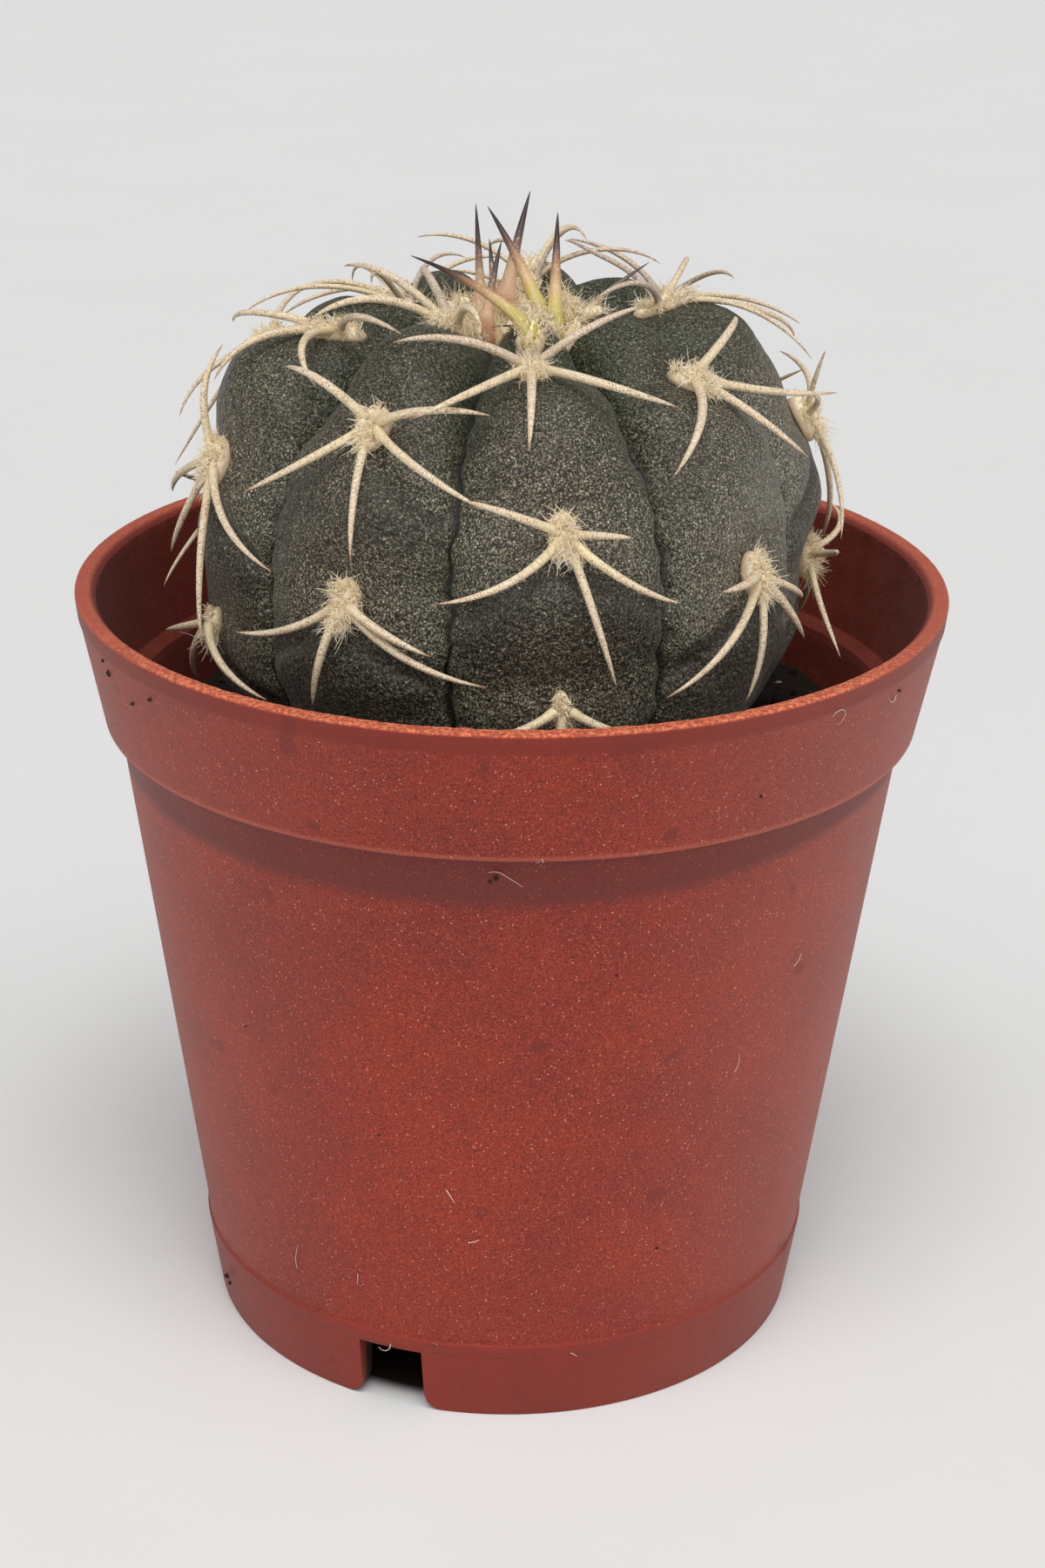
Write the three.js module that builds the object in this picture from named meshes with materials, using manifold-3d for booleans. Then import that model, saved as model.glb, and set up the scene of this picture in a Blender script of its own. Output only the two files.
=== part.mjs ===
import * as THREE from "three";
import { mergeVertices } from "three/addons/utils/BufferGeometryUtils.js";
import Module from "manifold-3d";

// A small round cactus in a plastic nursery pot. Millimetres, +Z up, origin at the bottom centre of the pot.
// Azimuth 0 faces -Y, the front, and grows towards +X. A polar angle is 0 at the crown and 90 at the waist.

const wasm = await Module();
wasm.setup();

// ---- pot
const POT_HEIGHT = 49.75;
const POT_WALL = 0.9;
const POT_SEGMENTS = 72;
const RIM_RADIUS = 27.5;
const RIM_BEVEL = 0.4;
const BAND_FOOT_Z = 41.4;
const BAND_FOOT_RADIUS = 25.9;
const INNER_LEDGE_RISE = 0.9;
const BODY_TOP_RADIUS = 25.07;
const BODY_FOOT_RADIUS = 20.2;
const FOOT_STEP_Z = 5.65;
const FOOT_STEP = 0.15;
const FOOT_RADIUS = 19.5;
const FOOT_WALL = 1.2;
const FLOOR_Z = 4.9;
const FLOOR_THICKNESS = 1.1;
const NOTCH_WIDTH = 4.24;
const NOTCH_HEIGHT = 4.6;
const NOTCH_ROUNDING = 1.2;
const NOTCH_AZIMUTHS = [-20.7, 99.3, 219.3];
const DRAIN_RADIUS = 2.2;
const DRAIN_CIRCLE_RADIUS = 10.5;
const DRAIN_COUNT = 4;

// ---- soil
const SOIL_Z = 38.6;
const SOIL_LUMP = 0.5;
const SOIL_RINGS = 6;
const SOIL_SECTORS = 48;
const SOCKET_SECTORS = 36;
const SOCKET_ANGLES = [180, 165, 152, 140, 128, 116, 104];
const SOCKET_CLEARANCE = 0.45;
const CLEARANCE = 0.3;

// ---- stem
const STEM_CENTRE = new THREE.Vector3(-0.3, 0, 52);
const STEM_RADIUS = 19.1;
const STEM_RISE = 17.8;
const STEM_DEPTH = 17;
const SHOULDER_POWER = 2.35;
const HAUNCH_POWER = 2.2;
const HUMP_HEIGHT = 0.5;
const CROWN_DIP = 3.4;
const CROWN_DIP_SPREAD = 23;
const CROWN_HEIGHT = STEM_RISE - CROWN_DIP;
const RIB_COUNT = 9;
const RIB_PITCH = 360 / RIB_COUNT;
const FIRST_RIB_AZIMUTH = 10;
const RIB_UNEVENNESS = 2.2;
const SWELLINGS = [
  { azimuth: -84, polar: 57, height: 1.6 },
  { azimuth: -84, polar: 102, height: 0.5 },
  { azimuth: -114, polar: 34, height: -1.2 },
  { azimuth: 94, polar: 63, height: 0.6 },
  { azimuth: 118, polar: 37, height: 0.7 },
  { azimuth: 94, polar: 103, height: -0.7 },
  { azimuth: 135, polar: 30, height: -0.4 },
];
const SWELLING_WIDTH = 24;
const SWELLING_LENGTH = 13;
const STEM_RINGS = 28;
const SECTORS_PER_RIB = 8;

// ---- felt and spines
const FELT_RADIUS = 1.2;
const FELT_HEIGHT = 0.85;
const FELT_SIDES = 7;
const CROWN_FELT_ANGLE = 15.5;
const CROWN_FELT_POLAR = 6;
const CROWN_FELT_AZIMUTH = 12;
const CROWN_FELT_SIDES = 36;
const SPINE_RADIUS = 0.46;
const YOUNG_SPINE_RADIUS = 0.5;
const SPINE_SIDES = 4;
const SPINE_STEPS = 3;
const SPINE_MIDDLE_HEIGHT = 1.15;
const ROOT_HEIGHT = 0.75;
const ROOT_OFFSET = 0.55;
const ARC_RADIUS = 20;
const SPINE_GAP = 0.32;
const CLEAR_SAMPLES = 14;
const ROOT_SAMPLES = 3;
const LIFT_STEP = 0.3;
const SWING_STEP = 9;
const POT_CLEAR_RADIUS = 23.3;
const SOIL_CLEAR_Z = 40.2;

// ---- colours
const TERRACOTTA = "#9c3a2c";
const DARK_SOIL = "#1d1613";
const GREY_GREEN = "#4c5044";
const BONE = "#cbb59a";
const DUSKY_PINK = "#9a6a58";

// One row a rib, from the one nearest the front round towards +X. Each cushion has its polar angle, and spines
// where they differ from the plain star: clock (0 up, 90 right), reach, height of the tip, sideways curl.
const RIBS = [
  [
    { polar: 38.5, turn: -4, spines: [[224, 8.3, 2.8, 14], [186, 7, 1.4, 0], [131, 9, 0.9, -28],
      [67, 7, 2.3, 0], [278, 8, 1.2, 0]] },
    { polar: 71, turn: 0, spines: [[290, 6, 1.2, 0], [96, 3.5, 1.4, 0], [229, 8, 2.2, 24], [163, 9, 1.9, 0],
      [133, 8, 1, -17]] },
    { polar: 102, turn: 0, spines: [[255, 5, 1.2, 0], [110, 5, 1.2, 0], [185, 5, 1.2, 0]] },
  ],
  [
    { polar: 46.5, turn: 0, spines: [[67, 6.5, 1, 0], [134, 8, 3.2, -20], [172, 7.5, 2.3, -20],
      [228, 9, 2, 10]] },
    { polar: 83.5, turn: -1, spines: [[273, 5, 1.6, 0], [230, 10, 1.4, 10], [196, 7.5, 1.4, 0],
      [124, 4, 0.9, 0], [150, 5, 1.8, 0]] },
  ],
  [
    { polar: 31.5, turn: 4, spines: [[40, 10.5, 1.4, 25], [309, 9.5, 0.7, 0], [103, 9, 1, 0],
      [195, 9, 1.8, 5], [172, 11, 2.6, -35]] },
    { polar: 65.5, turn: -1, spines: [[295, 6, 1.8, 0], [330, 4, 3, 0], [163, 11.5, 1.9, -17],
      [205, 8, 1.5, 10], [70, 7, 1.2, 0]] },
    { polar: 92, turn: -1, spines: [[229, 7.5, 3, 12], [140, 8, 1.6, 0], [290, 6, 1.2, 0], [75, 6, 1.2, 0]] },
  ],
  [{ polar: 44, turn: 0 }, { polar: 74, turn: 0 }, { polar: 103, turn: 0 }],
  [
    { polar: 26, turn: 0, spines: [[268, 8.5, 0.5, 0], [300, 4.5, 0.8, 0], [85, 7.5, 1.8, 0],
      [200, 6, 2, 0], [145, 7, 1.5, 0]] },
    { polar: 57, turn: 0 },
    { polar: 88, turn: 0 },
  ],
  [
    { polar: 49, turn: -3, spines: [[290, 6.5, 1.2, 0], [92, 9, 1.4, 10], [180, 7, 1.5, 0], [235, 8, 1.6, 14],
      [135, 8, 1.6, -14]] },
    { polar: 79, turn: 0 },
    { polar: 105, turn: 0 },
  ],
  [
    { polar: 26, turn: 0, spines: [[226, 9, 0.9, 0], [140, 9, 1.1, 0], [74, 7.5, 1.2, 0], [315, 5.5, 1, 0],
      [180, 7, 1, 0]] },
    { polar: 56, turn: 0, spines: [[165, 9.5, 2.9, 0], [197, 8.5, 1.2, 0], [130, 8, 1.5, -14],
      [237, 8, 1.5, 14], [292, 6.5, 1.5, 0]] },
    { polar: 87, turn: 0 },
  ],
  [
    { polar: 37.5, turn: 3, spines: [[225, 7.3, 0.9, 20], [175, 7, 1.6, 0], [125, 8.5, 1.6, -15],
      [78, 9, 1.6, 0]] },
    { polar: 69.5, turn: 2, spines: [[355, 6, 1.7, 0], [240, 8, 1.6, 0], [193, 7.5, 1.5, 18],
      [153, 11, 1.9, 8], [117, 11, 1.7, -14]] },
    { polar: 99.5, turn: 2, spines: [[250, 6, 2.4, 0], [220, 7, 1.8, 0], [105, 9, 1.3, 0]] },
  ],
  [
    { polar: 24.5, turn: 2, spines: [[280, 8, 1.5, 0], [316, 9.5, 1.3, 0], [230, 7.8, 1.2, 0],
      [118, 5, 0.9, 10]] },
    { polar: 54.5, turn: 2, spines: [[298, 5.5, 1.4, -14], [75, 7.2, 0.5, 0], [221, 8, 2, 14],
      [168, 8, 1.4, 4], [120, 9, 1.7, -10]] },
    { polar: 85, turn: 2, spines: [[234, 7, 2, 20], [193, 6.5, 1.3, 0], [108, 6.5, 1.4, 0],
      [119, 10, 1.2, -11]] },
  ],
];
const CUSHION_NAMES = ["upper", "middle", "lower"];
const PLAIN_STAR = [
  [180, 7.5, 1.6, 0],
  [230, 8.5, 1.7, 14],
  [130, 8.5, 1.7, -14],
  [292, 7, 1.5, 0],
  [68, 7, 1.5, 0],
];
const STAR_SPREAD = { clock: 9, reach: 1, tip: 0.4 };
const STAR_SEED = 7;

// Young spines of the crown: root x, root y, tip x, tip y, tip z.
const YOUNG_SPINES = [
  [-2.2, 0.4, -2.5, -0.3, 73.45],
  [-1.3, 1.4, -1.7, 3.5, 70.5],
  [-1.8, -4, -0.9, -2.5, 71.7],
  [-0.6, 1, 0.8, 3.4, 73.5],
  [1.6, -1.8, -1.8, -0.7, 73.35],
  [2.4, -2.7, 2.45, -0.7, 73.05],
  [1.4, -6, -6.4, -3, 70.8],
  [3.1, -3.8, -1.5, -8, 67.7],
  [3.2, -3.5, 8.05, -1.5, 70.25],
];

const radians = THREE.MathUtils.degToRad;
const degrees = THREE.MathUtils.radToDeg;
const smooth = THREE.MathUtils.smoothstep;
const bell = (x, spread) => Math.exp(-((x / spread) ** 2));

function seededRandom(seed) {
  let state = seed;
  return () => {
    state = (state * 16807) % 2147483647;
    return state / 2147483647;
  };
}

// ---------------------------------------------------------------- solids

// A closed solid from a geometry: shared corners merged, and flat slivers at the poles left out.
function solid(geometry) {
  const bare = new THREE.BufferGeometry();
  bare.setAttribute("position", geometry.getAttribute("position").clone());
  bare.setIndex(geometry.index ? geometry.index.clone() : null);
  const merged = mergeVertices(bare, 1e-4);
  const corners = merged.index.array;
  const kept = [];
  for (let i = 0; i < corners.length; i += 3) {
    const [a, b, c] = corners.slice(i, i + 3);
    if (a !== b && b !== c && a !== c) kept.push(a, b, c);
  }
  const vertProperties = new Float32Array(merged.getAttribute("position").array);
  return new wasm.Manifold(new wasm.Mesh({ numProp: 3, vertProperties, triVerts: new Uint32Array(kept) }));
}

function namedMesh(name, body, color, roughness) {
  const { vertProperties, triVerts } = body.getMesh();
  const geometry = new THREE.BufferGeometry();
  geometry.setAttribute("position", new THREE.BufferAttribute(new Float32Array(vertProperties), 3));
  geometry.setIndex(new THREE.BufferAttribute(new Uint32Array(triVerts), 1));
  const mesh = new THREE.Mesh(geometry, new THREE.MeshStandardMaterial({ color, roughness, metalness: 0 }));
  mesh.name = name;
  return mesh;
}

function moveVertices(geometry, place) {
  const position = geometry.getAttribute("position");
  const uv = geometry.getAttribute("uv");
  for (let i = 0; i < position.count; i += 1) {
    const old = new THREE.Vector3().fromBufferAttribute(position, i);
    const moved = place(old, uv.getX(i), uv.getY(i));
    position.setXYZ(i, moved.x, moved.y, moved.z);
  }
  return geometry;
}

// ---------------------------------------------------------------- pot

function innerRadius(z) {
  const share = (z - FOOT_STEP_Z) / (BAND_FOOT_Z - FOOT_STEP_Z);
  return BODY_FOOT_RADIUS + share * (BODY_TOP_RADIUS - BODY_FOOT_RADIUS) - POT_WALL;
}

function potProfile() {
  const ledgeZ = BAND_FOOT_Z + INNER_LEDGE_RISE;
  const floorTop = FLOOR_Z + FLOOR_THICKNESS;
  const points = [
    [FOOT_RADIUS, 0],
    [BODY_FOOT_RADIUS + FOOT_STEP, FOOT_STEP_Z - FOOT_STEP],
    [BODY_FOOT_RADIUS, FOOT_STEP_Z],
    [BODY_TOP_RADIUS, BAND_FOOT_Z],
    [BAND_FOOT_RADIUS, BAND_FOOT_Z],
    [RIM_RADIUS, POT_HEIGHT],
    [RIM_RADIUS - POT_WALL, POT_HEIGHT],
    [RIM_RADIUS - POT_WALL - RIM_BEVEL, POT_HEIGHT - RIM_BEVEL],
    [BAND_FOOT_RADIUS - POT_WALL + FOOT_STEP, ledgeZ],
    [innerRadius(ledgeZ - RIM_BEVEL), ledgeZ - RIM_BEVEL],
    [innerRadius(floorTop), floorTop],
    [0, floorTop],
    [0, FLOOR_Z],
    [FOOT_RADIUS - FOOT_WALL - FOOT_STEP, FLOOR_Z],
    [FOOT_RADIUS - FOOT_WALL, 0],
  ];
  points.push(points[0]);
  return points.map(([radius, z]) => new THREE.Vector2(radius, z));
}

// An arch open at the bottom, with its lower corners flared, pushed out through the foot wall.
function notchCutter(azimuth) {
  const half = NOTCH_WIDTH / 2;
  const arch = new THREE.Shape();
  arch.moveTo(-half - NOTCH_ROUNDING, -1);
  arch.lineTo(half + NOTCH_ROUNDING, -1);
  arch.lineTo(half + NOTCH_ROUNDING, 0);
  arch.quadraticCurveTo(half, 0, half, NOTCH_ROUNDING);
  arch.lineTo(half, NOTCH_HEIGHT);
  arch.lineTo(-half, NOTCH_HEIGHT);
  arch.lineTo(-half, NOTCH_ROUNDING);
  arch.quadraticCurveTo(-half, 0, -half - NOTCH_ROUNDING, 0);
  const reach = 4 * FOOT_WALL;
  const cutter = new THREE.ExtrudeGeometry(arch, { depth: reach, bevelEnabled: false, curveSegments: 4 });
  cutter.rotateX(Math.PI / 2);
  cutter.translate(0, reach / 2 - FOOT_RADIUS, 0);
  cutter.rotateZ(radians(azimuth));
  return solid(cutter);
}

function drainCutter(index) {
  const cutter = new THREE.CylinderGeometry(DRAIN_RADIUS, DRAIN_RADIUS, 3 * FLOOR_THICKNESS, 16);
  cutter.rotateX(Math.PI / 2);
  cutter.translate(DRAIN_CIRCLE_RADIUS, 0, FLOOR_Z + FLOOR_THICKNESS / 2);
  cutter.rotateZ((index / DRAIN_COUNT) * 2 * Math.PI);
  return solid(cutter);
}

function makePot() {
  const lathe = new THREE.LatheGeometry(potProfile(), POT_SEGMENTS);
  lathe.rotateX(Math.PI / 2);
  let pot = solid(lathe);
  for (const azimuth of NOTCH_AZIMUTHS) pot = pot.subtract(notchCutter(azimuth));
  for (let i = 0; i < DRAIN_COUNT; i += 1) pot = pot.subtract(drainCutter(i));
  return namedMesh("pot", pot, TERRACOTTA, 0.55);
}

// ---------------------------------------------------------------- stem

// The smooth globe that the ribs' highest humps reach, as a radius from the stem's centre. It is uneven, fuller
// at one side.
function globeRadius(polar, azimuth) {
  const across = Math.abs(Math.sin(radians(polar))) / STEM_RADIUS;
  const along = Math.cos(radians(polar));
  const depth = along > 0 ? STEM_RISE : STEM_DEPTH;
  const power = along > 0 ? SHOULDER_POWER : HAUNCH_POWER;
  const radius = (across ** power + (Math.abs(along) / depth) ** power) ** (-1 / power);
  let uneven = 0;
  for (const swelling of SWELLINGS) {
    const aside = THREE.MathUtils.euclideanModulo(azimuth - swelling.azimuth + 180, 360) - 180;
    uneven += swelling.height * bell(aside, SWELLING_WIDTH) * bell(polar - swelling.polar, SWELLING_LENGTH);
  }
  return radius - CROWN_DIP * bell(polar, CROWN_DIP_SPREAD) + 0.8 * HUMP_HEIGHT + uneven * smooth(polar, 0, 8);
}

// The ribs are slightly wider apart at the front than at the back. A rib's own place is a whole number.
function azimuthOf(ribPlace) {
  const even = RIB_PITCH * ribPlace;
  return FIRST_RIB_AZIMUTH + even + RIB_UNEVENNESS * Math.sin(radians(even));
}

function ribPlaceOf(azimuth) {
  let place = (azimuth - FIRST_RIB_AZIMUTH) / RIB_PITCH;
  for (let i = 0; i < 6; i += 1) {
    place -= (azimuthOf(place) - azimuth) / RIB_PITCH;
  }
  return place;
}

// How far the skin lies under the globe: the furrow between two ribs, the dimple over each cushion, and
// everything that isn't the swollen chin below one.
function skinDepth(polar, azimuth) {
  const place = ribPlaceOf(azimuth);
  const rib = Math.round(place);
  const flank = Math.abs(place - rib) * 2;
  const valley = 0.4 + 2.2 * smooth(polar, 6, 22) * (1 - 0.85 * smooth(polar, 35, 85));
  const crease = 0.9 * smooth(polar, 8, 40) * (1 - 0.5 * smooth(polar, 80, 125));
  let chin = 0;
  let dimple = 0;
  for (const cushion of RIBS[((rib % RIB_COUNT) + RIB_COUNT) % RIB_COUNT]) {
    const deep = 1.7 - 1.35 * smooth(cushion.polar, 38, 60);
    chin = Math.max(chin, bell(polar - cushion.polar - 13, 8));
    dimple = Math.max(dimple, deep * bell(polar - cushion.polar + 3, 5.5) * bell(flank, 0.85));
  }
  const detail = valley * flank ** 2 + crease * flank ** 7 - HUMP_HEIGHT * chin * (1 - flank ** 2) + dimple;
  return HUMP_HEIGHT + detail * smooth(polar, 0, 8) * (1 - smooth(polar, 140, 176));
}

const skinRadius = (polar, azimuth) => globeRadius(polar, azimuth) - skinDepth(polar, azimuth);

function direction(polar, azimuth) {
  const side = Math.sin(radians(polar));
  const x = side * Math.sin(radians(azimuth));
  const y = -side * Math.cos(radians(azimuth));
  return new THREE.Vector3(x, y, Math.cos(radians(polar)));
}

function anglesOf(way) {
  const polar = degrees(Math.acos(THREE.MathUtils.clamp(way.z, -1, 1)));
  return { polar, azimuth: degrees(Math.atan2(way.x, -way.y)) };
}

const fromCentre = (way, radius) => way.clone().multiplyScalar(radius).add(STEM_CENTRE);

function skinAlong(way) {
  const { polar, azimuth } = anglesOf(way);
  return skinRadius(polar, azimuth);
}

function globeAlong(way) {
  const { polar, azimuth } = anglesOf(way);
  return globeRadius(polar, azimuth);
}

// The rings lie closer on the upper half, which shows, than on the base in the soil.
function stemSolid(extra) {
  const sphere = new THREE.SphereGeometry(1, RIB_COUNT * SECTORS_PER_RIB, STEM_RINGS);
  moveVertices(sphere, (old, u, v) => {
    const down = 1 - v;
    const polar = 180 * down * (0.75 + 0.25 * down ** 3);
    const azimuth = azimuthOf(RIB_COUNT * u);
    return fromCentre(direction(polar, azimuth), skinRadius(polar, azimuth) + extra);
  });
  return solid(sphere);
}

// ---------------------------------------------------------------- soil

// The plain round hole that the stem's base stands in.
function socketCutter() {
  const profile = SOCKET_ANGLES.map((polar) => {
    const radius = globeRadius(polar, 0) + SOCKET_CLEARANCE;
    const x = Math.max(0, radius * Math.sin(radians(polar)));
    return new THREE.Vector2(polar < 180 ? x : 0, radius * Math.cos(radians(polar)));
  });
  profile.push(new THREE.Vector2(0, profile.at(-1).y));
  const lathe = new THREE.LatheGeometry(profile, SOCKET_SECTORS);
  lathe.rotateX(Math.PI / 2);
  lathe.translate(STEM_CENTRE.x, STEM_CENTRE.y, STEM_CENTRE.z);
  return solid(lathe);
}

function makeSoil() {
  const bottom = FLOOR_Z + FLOOR_THICKNESS + CLEARANCE;
  const edge = innerRadius(SOIL_Z) - CLEARANCE;
  const profile = [new THREE.Vector2(0, bottom), new THREE.Vector2(innerRadius(bottom) - CLEARANCE, bottom)];
  for (let ring = 0; ring <= SOIL_RINGS; ring += 1) {
    profile.push(new THREE.Vector2(edge * (1 - ring / SOIL_RINGS), SOIL_Z));
  }
  const lathe = new THREE.LatheGeometry(profile, SOIL_SECTORS);
  lathe.rotateX(Math.PI / 2);
  moveVertices(lathe, (old) => {
    const inside = 1 - smooth(Math.hypot(old.x, old.y), edge - 1, edge);
    const broad = Math.sin(1.7 * old.x + 0.6) * Math.sin(1.3 * old.y + 2);
    const lumps = broad + 0.5 * Math.sin(3.1 * old.x - 2.3 * old.y);
    const lift = old.z > SOIL_Z - 1 ? SOIL_LUMP * lumps * inside : 0;
    return old.add(new THREE.Vector3(0, 0, lift));
  });
  return namedMesh("soil", solid(lathe).subtract(socketCutter()), DARK_SOIL, 0.95);
}

// ---------------------------------------------------------------- felt

// A low cushion that follows the skin around one direction, out to an angle, with a flat underside.
function feltCushion(centre, angle, height, sides, rings) {
  const { east, north } = compass(centre);
  const sphere = new THREE.SphereGeometry(1, sides, rings);
  moveVertices(sphere, (old) => {
    const spread = radians(angle) * Math.hypot(old.x, old.z);
    const turn = Math.atan2(old.x, -old.z);
    const sideways = north.clone().multiplyScalar(Math.cos(turn)).addScaledVector(east, Math.sin(turn));
    const way = centre.clone().multiplyScalar(Math.cos(spread)).addScaledVector(sideways, Math.sin(spread));
    return fromCentre(way, skinAlong(way) + CLEARANCE + height * Math.max(old.y, 0));
  });
  return solid(sphere);
}

// ---------------------------------------------------------------- spines

function compass(centre) {
  const { azimuth } = anglesOf(centre);
  const east = new THREE.Vector3(Math.cos(radians(azimuth)), Math.sin(radians(azimuth)), 0);
  return { east, north: new THREE.Vector3().crossVectors(centre, east) };
}

// A spine's middle line: it leaves the cushion along a great circle and keeps a set height over the globe.
function starCurve(centre, [clock, reach, tip, curl], lift) {
  const { east, north } = compass(centre);
  const root = skinAlong(centre) - globeAlong(centre) + ROOT_HEIGHT;
  return (t) => {
    const bearing = radians(clock + curl * (t - 0.35));
    const sideways = north.clone().multiplyScalar(Math.cos(bearing)).addScaledVector(east, Math.sin(bearing));
    const arc = (ROOT_OFFSET + (reach - ROOT_OFFSET) * t) / ARC_RADIUS;
    const way = centre.clone().multiplyScalar(Math.cos(arc)).addScaledVector(sideways, Math.sin(arc));
    const middle = 4 * t * (1 - t) * (SPINE_MIDDLE_HEIGHT + lift);
    const height = root * (1 - t) * (1 - 2 * t) + middle + (tip + lift) * t * (2 * t - 1);
    return fromCentre(way, globeAlong(way) + height);
  };
}

// A young spine rises from the crown's felt and leans towards its tip as it goes.
function youngCurve([rootX, rootY, tipX, tipY, tipZ], lift) {
  const way = new THREE.Vector3(rootX - STEM_CENTRE.x, rootY, CROWN_HEIGHT).normalize();
  const root = fromCentre(way, skinAlong(way) + ROOT_HEIGHT);
  const tip = new THREE.Vector3(tipX, tipY, tipZ);
  const knee = root.clone().lerp(tip, 0.35);
  knee.z += 0.12 * root.distanceTo(tip) + lift;
  const bend = new THREE.QuadraticBezierCurve3(root, knee, tip);
  return (t) => bend.getPoint(t);
}

const taper = (t) => 1 - t ** 1.8;

// A four-sided cone drawn out along the curve, widest at its root.
function spineSolid(curve, centre, radius) {
  const cone = new THREE.ConeGeometry(radius, 1, SPINE_SIDES, SPINE_STEPS);
  moveVertices(cone, (old) => {
    const t = THREE.MathUtils.clamp(old.y + 0.5, 0, 1);
    const before = curve(Math.max(t - 0.02, 0));
    const along = curve(Math.min(t + 0.02, 1)).sub(before).normalize();
    const out = centre.clone().addScaledVector(along, -centre.dot(along)).normalize();
    const side = new THREE.Vector3().crossVectors(out, along);
    const swell = t < 1 ? taper(t) / (1 - t) : 0;
    return curve(t).addScaledVector(out, old.x * swell).addScaledVector(side, old.z * swell);
  });
  return solid(cone);
}

function samplesOf(curve, radius, owner) {
  const samples = [];
  for (let i = 2; i <= CLEAR_SAMPLES; i += 1) {
    const t = i / CLEAR_SAMPLES;
    samples.push({ point: curve(t), radius: radius * taper(t), owner });
  }
  return samples;
}

function clearsSkin({ point, radius }) {
  const arm = point.clone().sub(STEM_CENTRE);
  return arm.length() - skinAlong(arm.normalize()) > radius + SPINE_GAP;
}

function isClear(samples, taken) {
  if (!samples.slice(ROOT_SAMPLES).every(clearsSkin)) return false;
  for (const { point, radius, owner } of samples) {
    const outward = Math.hypot(point.x, point.y);
    if (point.z - radius < SOIL_CLEAR_Z) return false;
    if (point.z < POT_HEIGHT + 1 && outward + radius > POT_CLEAR_RADIUS) return false;
    for (const other of taken) {
      const near = radius + other.radius + SPINE_GAP;
      if (other.owner !== owner && point.distanceTo(other.point) < near) return false;
    }
  }
  return true;
}

// The first place that passes clear of all that is there already: as it grew, then lifted, swung or shortened.
function settle(centre, spine, owner, taken) {
  const [clock, reach, tip, curl] = spine;
  for (const share of [1, 0.8, 0.6]) {
    for (const swing of [0, 1, -1, 2, -2]) {
      for (let lift = 0; lift < 5; lift += 1) {
        const trial = [clock + swing * SWING_STEP, reach * share, tip, curl];
        const curve = starCurve(centre, trial, lift * LIFT_STEP);
        const samples = samplesOf(curve, SPINE_RADIUS, owner);
        if (isClear(samples, taken)) return { curve, samples };
      }
    }
  }
  return null;
}

function listCushions() {
  const random = seededRandom(STAR_SEED);
  const spread = (amount) => amount * (2 * random() - 1);
  const cushions = [];
  RIBS.forEach((row, rib) => {
    row.forEach(({ polar, turn, spines }, index) => {
      const star = PLAIN_STAR.map(([clock, reach, tip, curl]) => [
        clock + spread(STAR_SPREAD.clock),
        reach + spread(STAR_SPREAD.reach),
        tip + spread(STAR_SPREAD.tip),
        curl,
      ]);
      const centre = direction(polar, azimuthOf(rib) + turn);
      cushions.push({ name: `spines_rib${rib + 1}_${CUSHION_NAMES[index]}`, centre, spines: spines ?? star });
    });
  });
  return cushions;
}

function makeCrown(taken) {
  const top = direction(CROWN_FELT_POLAR, CROWN_FELT_AZIMUTH);
  let body = feltCushion(top, CROWN_FELT_ANGLE, FELT_HEIGHT, CROWN_FELT_SIDES, 5);
  for (const spine of YOUNG_SPINES) {
    let lift = 0;
    let samples = samplesOf(youngCurve(spine, lift), YOUNG_SPINE_RADIUS, "spines_crown");
    while (!samples.slice(ROOT_SAMPLES).every(clearsSkin) && lift < 4) {
      lift += LIFT_STEP;
      samples = samplesOf(youngCurve(spine, lift), YOUNG_SPINE_RADIUS, "spines_crown");
    }
    body = body.add(spineSolid(youngCurve(spine, lift), new THREE.Vector3(0.6, -0.8, 0), YOUNG_SPINE_RADIUS));
    taken.push(...samples);
  }
  return namedMesh("spines_crown", body.subtract(stemSolid(CLEARANCE / 2)), DUSKY_PINK, 0.7);
}

function makeCushion({ name, centre, spines }, taken, bed) {
  let body = feltCushion(centre, degrees(FELT_RADIUS / ARC_RADIUS), FELT_HEIGHT, FELT_SIDES, 4);
  for (const spine of spines) {
    const settled = settle(centre, spine, name, taken);
    if (settled) {
      body = body.add(spineSolid(settled.curve, centre, SPINE_RADIUS));
      taken.push(...settled.samples);
    }
  }
  return namedMesh(name, body.subtract(bed), BONE, 0.7);
}

// ---------------------------------------------------------------- the whole plant

const group = new THREE.Group();
group.add(makePot());
group.add(makeSoil());
group.add(namedMesh("cactus_stem", stemSolid(0), GREY_GREEN, 0.6));

const taken = [];
group.add(makeCrown(taken));
const cushions = listCushions();
for (const { name, centre } of cushions) {
  taken.push({ point: fromCentre(centre, skinAlong(centre)), radius: FELT_RADIUS, owner: name });
}
const bed = stemSolid(CLEARANCE / 2);
for (const cushion of cushions) group.add(makeCushion(cushion, taken, bed));

export default group;
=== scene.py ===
"""A small round cactus in a plastic nursery pot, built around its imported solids. Formulas are in millimetres."""

import math
import random

import bpy
import numpy as np
from mathutils import Matrix, Vector, noise


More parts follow.
